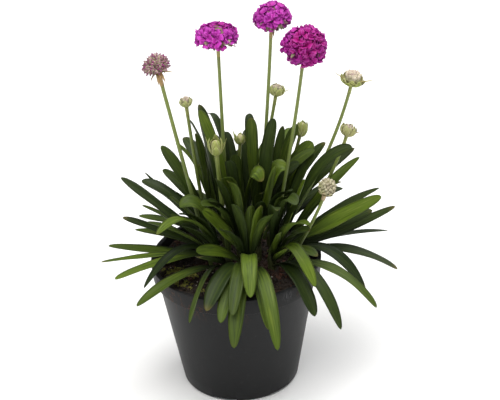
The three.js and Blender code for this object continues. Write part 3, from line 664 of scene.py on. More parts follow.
# Each row holds the place of a leaf's tip, then its arch, its width and its roll in degrees
TIPS = {
    "inner_front_right": [[33, 0, 221, 78, 11, 40], [38, 10, 176, 100, 12, 30], [33, -14, 189, 56, 13, 0]],
    "inner_back_right": [[18, 34, 208, 76, 8, 0], [16, 16, 214, 78, 9, 0]],
    "inner_back_left": [[3, 34, 194, 70, 10, 0], [-15, 30, 212, 86, 9, 20]],
    "inner_front_left": [[-23, -4, 230, 84, 13, -20], [22, -16, 177, 90, 13, 20]],
    "front": [
        [-23, -78, 105, 34, 14, 0], [-13, -84, 98, 34, 11, 0], [-4, -86, 105, 40, 11, 0],
        [-4, -94, 82, 40, 12, 0], [23, -86, 91, 32, 12, 0], [28, -98, 81, 42, 11, 0],
        [6, -76, 114, 30, 12, 0], [14, -48, 129, 40, 10, 0], [20, -36, 168, 30, 9, 0],
        [13, -34, 167, 34, 8, 0], [-3, -32, 187, 60, 10, 10], [4, -44, 174, 48, 9, 0],
        [28, -46, 166, 44, 10, -10], [-10, -48, 156, 36, 10, 0], [-23, -26, 160, 38, 13, -30],
        [-29, -38, 132, 20, 12, -25],
    ],
    "front_right": [
        [57, -62, 86, 24, 12, 0], [76, -66, 76, 26, 11, 0], [104, -44, 80, 22, 11, 0],
        [58, -56, 108, 52, 11, 0], [57, -28, 141, 24, 12, 0], [34, -44, 149, 12, 9, 30],
        [40, -50, 139, 14, 8, 0], [48, -34, 165, 44, 9, 40], [60, -40, 124, 26, 11, 0],
        [39, -36, 175, 50, 10, 0], [52, -28, 182, 56, 10, 20],
    ],
    "right": [
        [123, 0, 86, 12, 12, 0], [100, 2, 77, 28, 10, 20], [123, 18, 131, -4, 10, 10],
        [121, 24, 101, 3, 10, -14], [105, 8, 134, 16, 12, 20], [111, -6, 154, 22, 13, 30],
        [112, 30, 141, 28, 9, 0], [95, 32, 170, 40, 9, 10], [90, 6, 193, 80, 12, 20],
    ],
    "back_right": [
        [94, 42, 170, 44, 8, 30], [84, 56, 133, 32, 8, 0], [72, 44, 175, 60, 12, 0],
        [58, 48, 177, 60, 8, 0], [51, 28, 200, 74, 9, 30], [40, 40, 193, 74, 8, 0],
        [62, 30, 183, 60, 14, 40],
    ],
    "back": [],
    "back_left": [
        [-67, 38, 159, 12, 7, 58], [-53, 30, 165, 36, 12, -15], [-42, 34, 185, 66, 7, 60],
        [-51, 55, 133, 18, 9, 0], [-74, 38, 121, 14, 9, 0], [-31, 44, 200, 80, 7, 50],
        [-22, 18, 226, 84, 10, 60],
    ],
    "left": [
        [-26, 4, 209, 70, 12, -10], [-84, 10, 171, 28, 11, -10], [-52, 20, 192, 56, 11, -15],
        [-70, 24, 138, 26, 10, 20], [-85, 14, 134, 14, 10, 0], [-77, 22, 118, 12, 9, 5],
        [-97, 6, 114, 2, 11, 0], [-102, -14, 112, 8, 9, 10], [-91, -36, 110, 12, 10, 0],
    ],
    "front_left": [
        [-70, -38, 102, 50, 8, -10], [-75, -58, 99, 16, 11, 0], [-36, -76, 94, 30, 9, 40],
        [-40, -22, 162, 70, 12, -25], [-38, -34, 152, 36, 11, 0],
    ],
}
# The rows of each shoot whose leaves are painted lighter than the others, as painted light where light falls
# on them
PAINTED_LIT_ROWS = {
    "inner_front_right": (1, 2), "inner_front_left": (0, 1), "front_left": (2,), "left": (7, 8),
    "front": (3, 4, 5, 6, 8, 14), "front_right": (2, 3), "right": (5,),
}
seed = 11


def draw(low, high):
    global seed
    seed = seed * 16807 % 2147483647
    return low + (high - low) * (seed / 2147483647)


def boxes_along(points, _, side, half, half_thickness):
    """Boxes between the stations of blades or stems: middles, axes and half sizes."""
    along = points[..., 1:, :] - points[..., :-1, :]
    length = np.sqrt((along * along).sum(axis=-1, keepdims=True))
    along = along / length
    across = side[..., :-1, :] + side[..., 1:, :]
    across = unit(across - along * (across * along).sum(axis=-1, keepdims=True))
    up = np.cross(along, across)
    half = np.broadcast_to(half, points.shape[:-1])
    twist = 0.7 * half[..., 1:] * np.abs((side[..., 1:, :] * up).sum(axis=-1))
    sizes = [length[..., 0] / 2, np.maximum(half[..., :-1], half[..., 1:]), half_thickness + twist]
    middles = (points[..., :-1, :] + points[..., 1:, :]) / 2
    return middles, np.stack([along, across, up], axis=-2), np.stack(sizes, axis=-1)


def meet(boxes, others, margin):
    """For each row of boxes: whether any of them, grown by a margin, meets any of the others."""
    center, axes, size = boxes
    center_b, axes_b, size_b = others
    size = size + margin
    apart = center_b - center[..., None, :]
    reach = np.sqrt((size * size).sum(-1))[..., None] + np.sqrt((size_b * size_b).sum(-1))
    row, i, j = np.nonzero((apart * apart).sum(-1) < reach * reach)
    met = np.zeros(len(center), bool)
    a, b, u, v = size[row, i], size_b[j], axes[row, i], axes_b[j]
    turn = u @ v.transpose(0, 2, 1)
    t = (u @ apart[row, i, j][..., None])[..., 0]
    steep = np.abs(turn) + np.finfo(float).eps
    clear = (np.abs(t) > a + (steep @ b[..., None])[..., 0]).any(axis=1)
    clear |= (np.abs((t[:, None] @ turn)[:, 0]) > b + (a[:, None] @ steep)[:, 0]).any(axis=1)
    near = ~clear
    row, a, b, t, turn, steep = row[near], a[near], b[near], t[near], turn[near], steep[near]
    after, last = [1, 2, 0], [2, 0, 1]
    reach = a[:, after, None] * steep[:, last] + a[:, last, None] * steep[:, after]
    reach += b[:, None, after] * steep[:, :, last] + b[:, None, last] * steep[:, :, after]
    offset = np.abs(t[:, last, None] * turn[:, after] - t[:, after, None] * turn[:, last])
    met[row[(offset <= reach).all(axis=(1, 2))]] = True
    return met


def floor_at(radius):
    """How low a leaf may hang, so far from the pot's axis."""
    over_rim = np.where(radius < RIM_RADIUS + 2, POT_HEIGHT + 1, 0)
    return np.where(radius < RIM_RADIUS - 5, dome_height(radius) + 1, over_rim)


def half_width(t, width):
    grow = np.minimum(1, t / 0.55)
    taper = np.maximum(0, (t - 0.6) / 0.4)
    share = 0.22 + 0.78 * grow * grow * (3 - 2 * grow)
    return 0.5 * width * share * np.sqrt(np.maximum(0, 1 - taper**3.4))


def root_of(shoot, reach, rise):
    tilt = math.degrees(math.atan2(rise, reach))
    share = min(1, max(0, (tilt + 30) / 115))
    return np.array([*shoot["top"][:2], shoot["top"][2] - 0.8 - LEAFY_LENGTH * (1 - share)])


def blade_line(leaf, t):
    """Points, directions, sides and half widths of a blade, at the shares t of its length."""
    t = np.asarray(t, float)
    a = np.radians(np.asarray(leaf["angle"], float))[..., None]
    level = np.zeros_like(a)
    out = np.concatenate([np.cos(a), np.sin(a), level], axis=-1)
    side = np.concatenate([-np.sin(a), np.cos(a), level], axis=-1)[..., None, :]
    hang = min(1, max(0, -leaf["rise"] / 30))
    root = leaf["root"] + out * (SHOOT_RADIUS - 1)
    middle = root + out * (leaf["reach"] * (0.42 + 0.2 * hang))
    middle[..., 2] = root[..., 2] + leaf["arch"]
    tip = root + out * leaf["reach"]
    tip[..., 2] = root[..., 2] + leaf["rise"]
    points, along = arc(root[..., None, :], middle[..., None, :], tip[..., None, :], t)
    flat = unit(side - along * (along * side).sum(axis=-1, keepdims=True))
    roll = math.radians(leaf["roll"]) * np.minimum(1, t / 0.5)[:, None]
    across = flat * np.cos(roll) + np.cross(along, flat) * np.sin(roll)
    return points, along, across, half_width(t, leaf["width"])


def clear_of_pot(leaf):
    points, _, side, half = blade_line(leaf, np.arange(17) / 16)
    corners = points[..., None, :] + side[..., None, :] * (half[:, None] * [-1, 0, 1])[..., None]
    return (corners[..., 2] > floor_at(np.hypot(corners[..., 0], corners[..., 1]))).all(axis=(-1, -2))


SWINGS_AT_ONCE = 17
swings = [(turn, lift) for turn in range(-16, 17, 2) for lift in range(-24, 25, 4)]
swings.sort(key=lambda swing: abs(swing[0]) + 0.5 * abs(swing[1]) + 0.001 * (swing[0] + swing[1]))
standing, growing = [], []
for shoot in SHOOTS:
    half_height = (shoot["top"][2] - STEM_FOOT) / 2
    middle = shoot["top"] - [0, 0, half_height]
    size = np.array([[SHOOT_RADIUS, SHOOT_RADIUS, half_height]])
    standing.append((shoot["name"], (middle[None], np.eye(3)[None], size)))
for flower in FLOWERS:
    points, along, side = stem_line(flower, 5)
    thick = np.full(len(points), flower.get("stem", STEM_RADIUS))
    head = (np.array([flower["head"]], float), np.eye(3)[None], np.full((1, 3), float(flower["radius"])))
    line = boxes_along(points, along, side, thick, STEM_RADIUS)
    standing.append(("", tuple(np.concatenate(pair) for pair in zip(line, head))))


def find_room(wanted):
    """The leaf, turned and lifted as little as clears it of all that stands, or None."""
    others = [boxes for name, boxes in standing if name != wanted["shoot"]]
    others = tuple(np.concatenate(group) for group in zip(*others))
    own = [boxes for name, boxes in growing if name == wanted["shoot"]]
    own = tuple(np.concatenate(group) for group in zip(*own)) if own else None
    for first in range(0, len(swings), SWINGS_AT_ONCE):
        turn, lift = np.array(swings[first:first + SWINGS_AT_ONCE], float).T
        leaf = dict(wanted, angle=wanted["angle"] + turn, arch=wanted["arch"] + lift)
        clear = clear_of_pot(leaf)
        stations = np.arange(leaf["steps"] + 1) / leaf["steps"]
        boxes = boxes_along(*blade_line(leaf, stations), BLADE_THICKNESS / 2)
        fine = boxes_along(*blade_line(leaf, np.arange(2, 11) / 10), BLADE_THICKNESS / 2)
        clear &= ~meet(boxes, others, 0.5)
        if own:
            clear &= ~meet(fine, own, 0.05)
        if clear.any():
            best = clear.argmax()
            standing.append((leaf["shoot"], tuple(group[best] for group in boxes)))
            growing.append((leaf["shoot"], tuple(group[best] for group in fine)))
            return dict(leaf, angle=leaf["angle"][best], arch=leaf["arch"][best])
    return None


def leaf_to_tip(shoot, x, y, z, arch, width, roll):
    dx, dy = x - shoot["top"][0], y - shoot["top"][1]
    away = math.hypot(dx, dy)
    root = root_of(shoot, away, z - shoot["top"][2])
    long = math.sqrt(dx * dx + dy * dy + (z - root[2]) ** 2) > 95
    return dict(
        shoot=shoot["name"], root=root, angle=math.degrees(math.atan2(dy, dx)), reach=away - SHOOT_RADIUS + 1,
        rise=z - root[2], arch=arch, width=width, roll=roll, steps=6 if long else 5)


def drawn_leaf(shoot, steepness):
    length = draw(62, 88)
    tilt = math.radians(steepness + draw(-8, 8))
    reach, rise = length * math.cos(tilt), length * math.sin(tilt) - 4
    return dict(
        shoot=shoot["name"], root=root_of(shoot, reach, rise), angle=shoot["angle"] + draw(-38, 38),
        reach=reach, rise=rise, arch=length * (0.3 + 0.5 * max(0, math.sin(tilt))),
        width=draw(8, 12), roll=draw(-25, 25), steps=4, fresh=False)


for shoot in SHOOTS:
    fresh = PAINTED_LIT_ROWS.get(shoot["name"], ())
    rows = TIPS.get(shoot["name"], [])
    found = [find_room(dict(leaf_to_tip(shoot, *row), fresh=k in fresh)) for k, row in enumerate(rows)]
    shoot["leaves"] = [leaf for leaf in found if leaf]
LEAF_COUNTS = {"front": 16, "front_left": 14, "front_right": 14, "left": 11, "right": 11}
for shoot in SHOOTS:
    steepness, wanted = [42, 62, 12, 74, 28, 54], LEAF_COUNTS.get(shoot["name"], 10)
    if shoot["name"].startswith("inner"):
        steepness, wanted = [75, 60, 82], 8
    elif shoot["name"].startswith("front"):
        steepness = [70, 56, 80, 44, 64]
    for tries in range(30):
        if len(shoot["leaves"]) < wanted:
            leaf = find_room(drawn_leaf(shoot, steepness[tries % len(steepness)]))
            shoot["leaves"] += [leaf] if leaf else []

SHEATH_SIDES = 14
TOP = np.array([-1, -0.68, -0.34, 0, 0.34, 0.68, 1])
ACROSS = np.concatenate([TOP, TOP[5:0:-1]])
ALONG = 1 - (1 - np.arange(29) / 28) ** 1.35


def rings_across(line, side, reach, normal, height):
    """A flat ring of corners across each point of a line: so far to its side, and so far off it."""
    side = np.atleast_2d(side)[:, None]
    return line[:, None] + side * reach[..., None] + normal[:, None] * height[..., None]


def blade_rings(leaf):
    """A blade hollowed along its midrib, its edges lifted and a little waved."""
    points, along, side, half = blade_line(leaf, ALONG)
    half = np.maximum(half, 0.12) * (1 + 0.03 * np.sin(9 * ALONG + dice.uniform(0, 6)))
    up = np.cross(along, side)
    v = np.abs(ACROSS)
    hollow = dice.uniform(0.22, 0.46)
    thick = np.interp(ALONG, [0, 0.15, 0.6, 1], [1.5, 0.9, 0.62, 0.3])
    upper = np.where(np.arange(12) < 7, 1, -1)
    groove = np.exp(-((v / 0.22) ** 2)) * np.where(upper > 0, -0.16, -0.42)
    wave = 0.35 * np.sin(2 * math.pi * (2.2 * ALONG[:, None] + dice.uniform()) + 1.3 * np.sign(ACROSS)) * v**2
    bend = np.interp(ALONG, [0, 0.2, 1], [0.2, 1, 0.75])[:, None]
    height = bend * (hollow * (v**1.5 - 0.35) * half[:, None] + wave)
    height = height + (upper * (1 - v**2) / 2 * thick[:, None])
    height = height + groove * bend * np.minimum(1, half / 3)[:, None]
    return rings_across(points, side, half[:, None] * ACROSS, up, height)


leaf = Finish("thrift_leaf")
along_leaf, across_leaf = leaf.on_bit()
shade, age, _ = leaf.tone()
place = leaf.place()
from_rib = abs(across_leaf - 0.5) * 2
cloud = leaf.noise(place, 55, 3, 0.5)
fleck = leaf.noise(place, 420, 3, 0.6)
veins = across_leaf.wave(13)
streak = leaf.node("ShaderNodeCombineXYZ", {0: across_leaf * 7, 1: along_leaf * 3, 2: shade * 30 + age * 9})
streak = leaf.noise(streak, 1.0, 3, 0.6)
# Painted light and shade: each leaf's lit or shaded tone, dimmed towards its root as painted shade under the
# foliage above
painted_light = shade * (along_leaf.ramp(0.10, 0.65) * 0.7 + 0.3)
leaf_material = leaf.surface(
    through=0.12,
    base_color=leaf.coats(
        leaf.mix(painted_light, (0.0065, 0.0135, 0.0032), (0.122, 0.190, 0.012)),
        (cloud.ramp(0.3, 0.75) * 0.30, (0.024, 0.046, 0.007)),
        (from_rib.ramp(0.62, 1.0) * 0.30, (0.013, 0.027, 0.005)),
        # painted highlight: pale bands along both sides of the midrib channel
        (from_rib.ramp(0.06, 0.16) * from_rib.ramp(0.42, 0.22) * 0.13, (0.110, 0.165, 0.022)),
        (from_rib.ramp(0.10, 0.02) * along_leaf.ramp(1.0, 0.5) * 0.5, (0.030, 0.056, 0.010)),
        (veins * 0.09, (0.110, 0.170, 0.022)),
        (streak.ramp(0.54, 0.70) * shade * 0.55, (0.210, 0.260, 0.040)),
        (streak.ramp(0.46, 0.34) * 0.55, (0.012, 0.026, 0.005)),
        (from_rib.ramp(0.90, 0.98) * shade * 0.5, (0.190, 0.240, 0.060)),
        (fleck.ramp(0.72, 0.80) * 0.30, (0.150, 0.190, 0.070)),
        # painted shade: the lower half of each blade darkened towards its root, deep in the foliage
        (along_leaf.ramp(0.55, 0.08) * 0.75, (0.008, 0.016, 0.0035)),
        (along_leaf.ramp(0.12, 0.0) * 0.6, (0.085, 0.090, 0.034)),
        (along_leaf.ramp(0.93, 1.0) * age * 0.7, (0.150, 0.120, 0.032)),
    ),
    roughness=cloud * 0.16 + veins * 0.06 + 0.40,
    specular_ior_level=0.24,
    normal=leaf.bump(veins * 0.5 + fleck * 0.35, 0.3, 0.00025),
)
for shoot in SHOOTS:
    bits = Gathering()
    for blade in shoot["leaves"]:
        # Painted light and shade: listed leaves get a light tone where light falls on them, the others a
        # random darker one, and hanging leaves are darker still as painted shade
        hanging_shade = 0.13 if blade["rise"] < 0 else 0
        bright = dice.uniform(0.7, 0.95) - 2.5 * hanging_shade
        dull = dice.uniform(0, 0.85) ** 2.2 + 0.05 - hanging_shade
        painted_light_tone = bright if blade["fresh"] else dull
        tone = (np.clip(painted_light_tone, 0, 1), max(0, dice.uniform(-1.6, 1)), 0)
        bits.add(blade_rings(blade), grid(ALONG, (ACROSS + 1) / 2), tone)
    top = shoot["top"]
    heights = np.array([STEM_FOOT, SOIL_EDGE + 1, top[2] - 7, top[2] - 3, top[2] - 0.5, top[2] + 0.6])
    line = np.column_stack([np.full(6, top[0]), np.full(6, top[1]), heights])
    upright = np.tile([0.0, 0, 1], (6, 1))
    level = np.tile([1.0, 0, 0], (6, 1))
    sheath = tube(line, upright, level, [2.4, 3.0, 3.3, 3.2, 2.4, 0.6], SHEATH_SIDES)
    bits.add(sheath, grid(np.linspace(0, 0.08, 6), np.full(SHEATH_SIDES, 0.2)), (0.3, 0, 1))
    bits.settle("leaves_" + shoot["name"], leaf_material, "leaf", "shoot_" + shoot["name"])

# The open heads: three round heads of magenta florets. Each floret has five broad rounded petals that
# flare from a narrow throat, with short stamens in it, over a pleated papery cup. Two heads show
# patches of cups and browned buds below, where the florets haven't opened or have dropped.

GOLDEN = math.pi * (3 - math.sqrt(5))
FRONT = unit(np.array([0.1, -0.8, 0.6]))
FLORETS = {"03": 32, "04": 32, "05": 58}
FLATTENED = {"03": 0.54, "04": 0.70, "05": 0.86}
# Where no floret is open: the direction from the middle of a head, and how far round it in degrees
PATCHES = {
    "03": [(-0.72, -0.60, -0.50, 36), (0.66, -0.60, -0.50, 37)],
    "04": [(0.42, -0.66, -0.60, 46)],
    "05": [],
}


def of_kind(*kinds):
    return [flower for flower in FLOWERS if flower["kind"] in kinds]


def spread(count, cover, uneven=0.0):
    """Directions spread evenly from the top of a head down to its cover angle."""
    lowest = math.cos(math.radians(cover))
    k = np.arange(count)
    z = np.clip(1 - (k + 0.5) / count * (1 - lowest) + dice.uniform(-uneven, uneven, count), -0.99, 0.999)
    turn = GOLDEN * k + dice.uniform(-1, 1, count) * uneven * 4
    r = np.sqrt(1 - z * z)
    return np.column_stack([r * np.cos(turn), r * np.sin(turn), z])


def upright_frame(flower):
    """A head's middle, and the turn that brings upright onto the direction of the end of its stem."""
    turn = Vector((0, 0, 1)).rotation_difference(Vector(flower["along"])).to_matrix()
    return np.array(flower["head"], float), np.array(turn)


PETAL_ALONG = np.array([0, 0.22, 0.45, 0.66, 0.82, 0.93, 1.0])
PETAL_WIDTHS = np.array([0.22, 0.36, 0.68, 0.94, 1, 0.86, 0.42])
BLADE_ACROSS = np.array([-1, -0.5, 0, 0.5, 1, 0.5, 0, -0.5])
BLADE_UPPER = np.array([0, 1, 1, 1, 0, -1, -1, -1])


def petal_rings(out, side, axis, start, length, width, opening):
    """One petal, from the throat at start, bending away from the floret's axis."""
    s = PETAL_ALONG
    flare = np.radians(12 + (opening - 12) * s**0.7)
    step = np.diff(s, prepend=0) * length
    reach, rise = np.cumsum(step * np.sin(flare)), np.cumsum(step * np.cos(flare))
    middle = start + out * reach[:, None] + axis * rise[:, None]
    normal = axis * np.sin(flare)[:, None] - out * np.cos(flare)[:, None]
    half = width / 2 * PETAL_WIDTHS
    v = BLADE_ACROSS
    cup = dice.uniform(-0.05, 0.3) * (v**2 - 0.3) * half[:, None] + dice.uniform(-0.35, 0.35) * v * s[:, None]
    ruffle = dice.uniform(0.08, 0.3) * np.sin(2.6 * v + dice.uniform(0, 6)) * (s**2)[:, None]
    crease = -0.14 * np.exp(-((v / 0.3) ** 2)) * (s * (1 - s) * 4)[:, None]
    notch = -0.45 * (1 - np.abs(v)) * (s**8)[:, None]
    height = cup + ruffle + crease + BLADE_UPPER * 0.11
    forward = (middle[-1] - middle[-2]) / np.linalg.norm(middle[-1] - middle[-2])
    return rings_across(middle, side, half[:, None] * v, normal, height) + forward * notch[..., None]


BUD_ALONG = np.array([0, 0.12, 0.38, 0.66, 0.86, 1])
BUD_GIRTHS = np.array([0.38, 0.72, 1, 0.88, 0.55, 0.14])


def bud_rings(middle, axis, length, radius, pleats=8):
    """A closed bud or a cup: a pleated body along its axis, blunt at its tip."""
    square = square_to(axis)
    reach = radius * BUD_GIRTHS[:, None] * np.where(np.arange(pleats) % 2, 0.84, 1)
    line = middle + axis * (length * (BUD_ALONG - 0.5))[:, None]
    return rings_round(line, *square, reach, pleats)


BUD_PLACES = grid(BUD_ALONG, np.arange(8) / 8)
PETAL_PLACES = grid(PETAL_ALONG, (BLADE_ACROSS + 1) / 2)

petals = Finish("thrift_petals")
along_petal, across_petal = petals.on_bit()
shade, warm, _ = petals.tone()
streaks = across_petal.wave(5) * 0.6 + petals.noise(petals.place(), 900, 3, 0.6) * 0.4
petal_material = petals.surface(
    through=0.30,
    base_color=petals.coats(
        petals.mix(shade, (0.420, 0.012, 0.340), (0.700, 0.065, 0.620)),
        (warm * 0.7, (0.560, 0.008, 0.200)),
        (streaks * 0.30, (0.240, 0.004, 0.200)),
        (along_petal.ramp(0.70, 1.0) * 0.28, (0.740, 0.180, 0.680)),
        (along_petal.ramp(0.38, 0.05) * 0.65, (0.260, 0.002, 0.110)),
    ),
    roughness=streaks * 0.15 + 0.5,
    specular_ior_level=0.3,
    normal=petals.bump(streaks, 0.35, 0.0002),
)

husk = Finish("thrift_buds")
along_bud, round_bud = husk.on_bit()
rosy, green, brown = husk.tone()
mottle = husk.noise(husk.place(), 500, 3, 0.6)
pleat = round_bud.wave(8)
husk_material = husk.surface(
    through=0.15,
    base_color=husk.coats(
        husk.mix(mottle, (0.620, 0.540, 0.380), (0.860, 0.800, 0.640)),
        (pleat * 0.2, (0.400, 0.320, 0.180)),
        (along_bud.ramp(0.36, 0.0) * 0.45, (0.230, 0.250, 0.070)),
        (along_bud.ramp(0.46, 0.80) * rosy, (0.250, 0.012, 0.160)),
        (green, (0.230, 0.290, 0.060)),
        (brown, (0.110, 0.045, 0.035)),
    ),
    roughness=mottle * 0.2 + 0.5,
    specular_ior_level=0.35,
    normal=husk.bump(pleat + mottle * 0.5, 0.4, 0.0002),
)
EAST, NORTH, UP = np.eye(3)


def add_core(bits, flower, share, tone):
    """A ball in the middle of a head, which its florets, buds or scales hide."""
    middle, turn = upright_frame(flower)
    polar = np.pi * (1 - np.linspace(0.02, 0.98, 12))
    line = UP * (np.cos(polar) * flower["flat"])[:, None]
    ball = rings_round(line, EAST, NORTH, np.sin(polar)[:, None], 18) * (flower["radius"] * share)
    bits.add(middle + ball @ turn.T, grid(np.linspace(0, 1, 12), np.arange(18) / 18), tone)


for flower in of_kind("bloom"):
    name, radius, flat = flower["name"], flower["radius"], FLATTENED[flower["name"]]
    roundest = name == "05"
    corollas, cups = Gathering(), Gathering()
    middle, turn = upright_frame(flower)
    middle = middle - [0, 0, 0 if roundest else 0.9]
    # The core is tinted dark brown as painted shade, so that the gaps between the florets look dark
    add_core(cups, flower, 0.6, (0.3, 0.3, 0.75))
    patches = [(unit(np.array(toward)), wide) for *toward, wide in PATCHES[name]]
    for direction in spread(FLORETS[name], flower["cover"], 0.03):
        outward = direction @ turn.T
        if any(outward @ patch > math.cos(math.radians(wide)) for patch, wide in patches):
            continue
        low = direction[2] < -0.3
        drawn_in = (1.4 if low else 2.7) + (0.9 if roundest else 0)
        place = direction * [1, 1, flat] * (radius - drawn_in - abs(dice.normal(0, 0.8)))
        if name == "04" and direction[0] < 0:
            place = place * [0.86, 1, 1]
        axis = unit(direction / [1, 1, flat] + dice.normal(0, 0.16, 3)) @ turn.T
        center = middle + place @ turn.T
        first, second = square_to(axis)
        opening = dice.uniform(62, 90)
        shade_tone = dice.uniform(0, 0.55 if roundest else 1)
        facing = max(0, outward @ FRONT) ** 3
        warm_tone = np.clip(dice.normal(0.35 + 0.8 * facing if roundest else 0.1, 0.2), 0, 1)
        size = dice.uniform(6.4, 7.6)
        for k in range(5):
            a = 2 * math.pi * k / 5 + dice.uniform(-0.12, 0.12)
            out = first * math.cos(a) + second * math.sin(a)
            side = second * math.cos(a) - first * math.sin(a)
            throat = center + out * 0.55 - axis * 2.6
            length, width = size * dice.uniform(0.9, 1.08), dice.uniform(4.8, 6.0)
            flare = opening + dice.uniform(-12, 12) - 16 * low
            rings = petal_rings(out, side, axis, throat, length, width, flare)
            tone = (np.clip(shade_tone + dice.uniform(-0.2, 0.2), 0, 1), warm_tone, 0)
            corollas.add(rings, PETAL_PLACES, tone)
            if k % 2 == 0:
                stamen = bud_rings(center + out * 0.6 - axis * 0.9, unit(axis + out * 0.25), 1.1, 0.26, 6)
                cups.add(stamen, BUD_PLACES[:, :6], (0.3, 0, 0))
        cups.add(bud_rings(center - axis * 4.8, axis, 5.6, 1.15), BUD_PLACES, (0.5, 0.25, 0.2))
    lower = list(spread(30, flower["cover"] + 16)[-12:])
    for patch, wide in patches:
        lower += [unit(patch @ turn + dice.normal(0, wide / 110, 3)) for _ in range(14)]
    for direction in lower:
        place = direction * [1, 1, flat] * (radius - dice.uniform(2.6, 4.2))
        axis = unit(direction + dice.normal(0, 0.25, 3)) @ turn.T
        paler = 0.4 if name == "04" else 1
        tone = (dice.uniform(0.3, 1), dice.uniform(0, 0.5), dice.choice([0.1, 0.5, 0.8]) * paler)
        cups.add(bud_rings(middle + place @ turn.T, axis, 5.2, 1.4), BUD_PLACES, tone)
    corollas.settle("petals_" + name, petal_material, "petals", "head_" + name)
    cups.settle("floret_cups_" + name, husk_material, "petals")

# The scales and bracts: thin pointed scales wrap each closed head, green or cream with papery edges,
# and dry tan bracts stand out below the heads. A papery sheath grips the stem under each head.

SCALE_ALONG = np.linspace(0, 1, 8)
SCALE_PLACES = grid(SCALE_ALONG, (BLADE_ACROSS + 1) / 2)


def outward_at(azimuth):
    """The level directions out of a head and along its side."""
    east, north = math.cos(azimuth), math.sin(azimuth)
    return EAST * east + NORTH * north, NORTH * east - EAST * north


def whorl(count):
    """Azimuths spread evenly round a head, each a little astray."""
    turned = dice.uniform(0, 1)
    for k in range(count):
        yield 2 * math.pi * (k + turned) / count + dice.uniform(-0.1, 0.1)


def scale_rings(flower, azimuth, start, end, width, off, flare):
    """A thin pointed scale that hugs the head from one polar angle up to another; its tip may stand off."""
    middle, turn = upright_frame(flower)
    s = SCALE_ALONG
    polar = np.radians(start + (end - start) * s)
    radius = flower["radius"] * (1 + off) + flare * s**3
    out, side = outward_at(azimuth)
    normal = unit(out * np.sin(polar)[:, None] + UP * (np.cos(polar) / flower["flat"])[:, None])
    line = out * (radius * np.sin(polar))[:, None] + UP * (radius * flower["flat"] * np.cos(polar))[:, None]
    half = width / 2 * np.interp(s, [0, 0.3, 0.6, 0.85, 1], [0.5, 1, 0.95, 0.55, 0.06])
    reach = half[:, None] * BLADE_ACROSS
    wrap = -reach**2 / (2 * flower["radius"]) + BLADE_UPPER * 0.12
    return middle + rings_across(line, side, reach, normal, wrap) @ turn.T


def bract_rings(flower, azimuth, long, lift, half_wide):
    """A bract that springs from under the head and bends up or down by its lift at the tip."""
    middle, turn = upright_frame(flower)
    root = min(flower["radius"] * 0.3, 2.6)
    out, side = outward_at(azimuth)
    start = np.array([0, 0, -flower["seat"] - 0.3]) + out * root
    bend, tip = start + out * long * 0.6 + [0, 0, 0.1 * lift], start + out * long + [0, 0, lift]
    line, along = arc(start, bend, tip, SCALE_ALONG)
    half = half_wide * np.interp(SCALE_ALONG, [0, 0.3, 0.7, 1], [0.8, 1, 0.6, 0.05])
    hollow = 0.3 * (BLADE_ACROSS**2 - 0.4) * half[:, None] + BLADE_UPPER * 0.1
    reach = half[:, None] * BLADE_ACROSS
    return middle + rings_across(line, side, reach, np.cross(along, side), hollow) @ turn.T


scale = Finish("bud_scale")
along_scale, across_scale = scale.on_bit()
dry, pale, pink = scale.tone()
fibre = scale.noise(scale.stretch(scale.place(), (3, 3, 1)), 300, 4, 0.65)
edge = abs(across_scale - 0.5) * 2
tan = scale.coats(
    scale.mix(fibre, (0.330, 0.170, 0.055), (0.680, 0.440, 0.210)),
    (along_scale.ramp(0.6, 1.0) * 0.6, (0.170, 0.085, 0.030)),
)
cream = scale.coats(
    scale.mix(fibre, (0.540, 0.530, 0.260), (0.780, 0.750, 0.480)),
    (pink * 0.8, (0.560, 0.340, 0.280)),
    (along_scale.ramp(0.30, 0.0) * 0.7, (0.400, 0.330, 0.110)),
)
scale_material = scale.surface(
    through=0.18,
    base_color=scale.coats(
        scale.mix(fibre, (0.220, 0.280, 0.045), (0.420, 0.480, 0.120)),
        (along_scale.ramp(0.55, 0.0) * 0.5, (0.210, 0.250, 0.070)),
        (edge.ramp(0.45, 1.0) * 0.55, (0.560, 0.560, 0.300)),
        (dry, tan),
        (pale, cream),
    ),
    roughness=fibre * 0.2 + 0.5,
    specular_ior_level=0.35,
    normal=scale.bump(fibre, 0.4, 0.0003),
)

# The heads in bud: the one on the left is about to open, its small buds cream with magenta tips. The
# others are closed, with cream buds that show above their scales; the lowest one on the right is a
# ball of small papery buds with scales round its underside.

# Each row: how many scales, the angles from and to which they reach, how far off the head they lie,
# how far their tips flare and how pale they are
HEAD_SCALES = {
    "02": [(6, 172, 52, 0.00, 0.2, 0.55), (6, 174, 70, 0.08, 0.4, 0.30)],
    "06": [(6, 172, 34, 0.00, 0.3, 0.50), (6, 174, 54, 0.08, 0.9, 0.30)],
    "07": [(8, 172, 66, 0.00, 0.3, 0.30), (7, 174, 86, 0.07, 0.8, 0.10)],
    "08": [(7, 172, 30, 0.00, 0.8, 0.55), (6, 174, 48, 0.08, 1.6, 0.40)],
    "09": [(9, 172, 96, 0.00, 0.4, 0.75), (7, 174, 118, 0.08, 0.5, 0.60)],
}
# How many small buds a head has, and how far down they reach in degrees
INNER_BUDS = {
    "01": (120, 120), "02": (12, 62), "06": (10, 62), "07": (26, 62), "08": (10, 62), "09": (60, 128),
}


def bud_tone(name, direction):
    """How rosy, how green and how brown a small bud is."""
    if name == "01":
        return dice.uniform(0.6, 1), 0, dice.choice([0, 0.1, 0.3, 0.6])
    if name == "09":
        shaded = max(0, -0.1 - direction[0] - direction[2])
        rosy_tone, green_tone = dice.uniform(0, 0.12), 0.26 + shaded * dice.uniform(0.1, 0.6)
        return rosy_tone, green_tone, dice.choice([0, 0.1, 0.22, 0.34])
    return dice.uniform(0, 0.45) ** 1.3, max(0, dice.uniform(-0.5, 0.3)), dice.choice([0, 0, 0, 0.12])


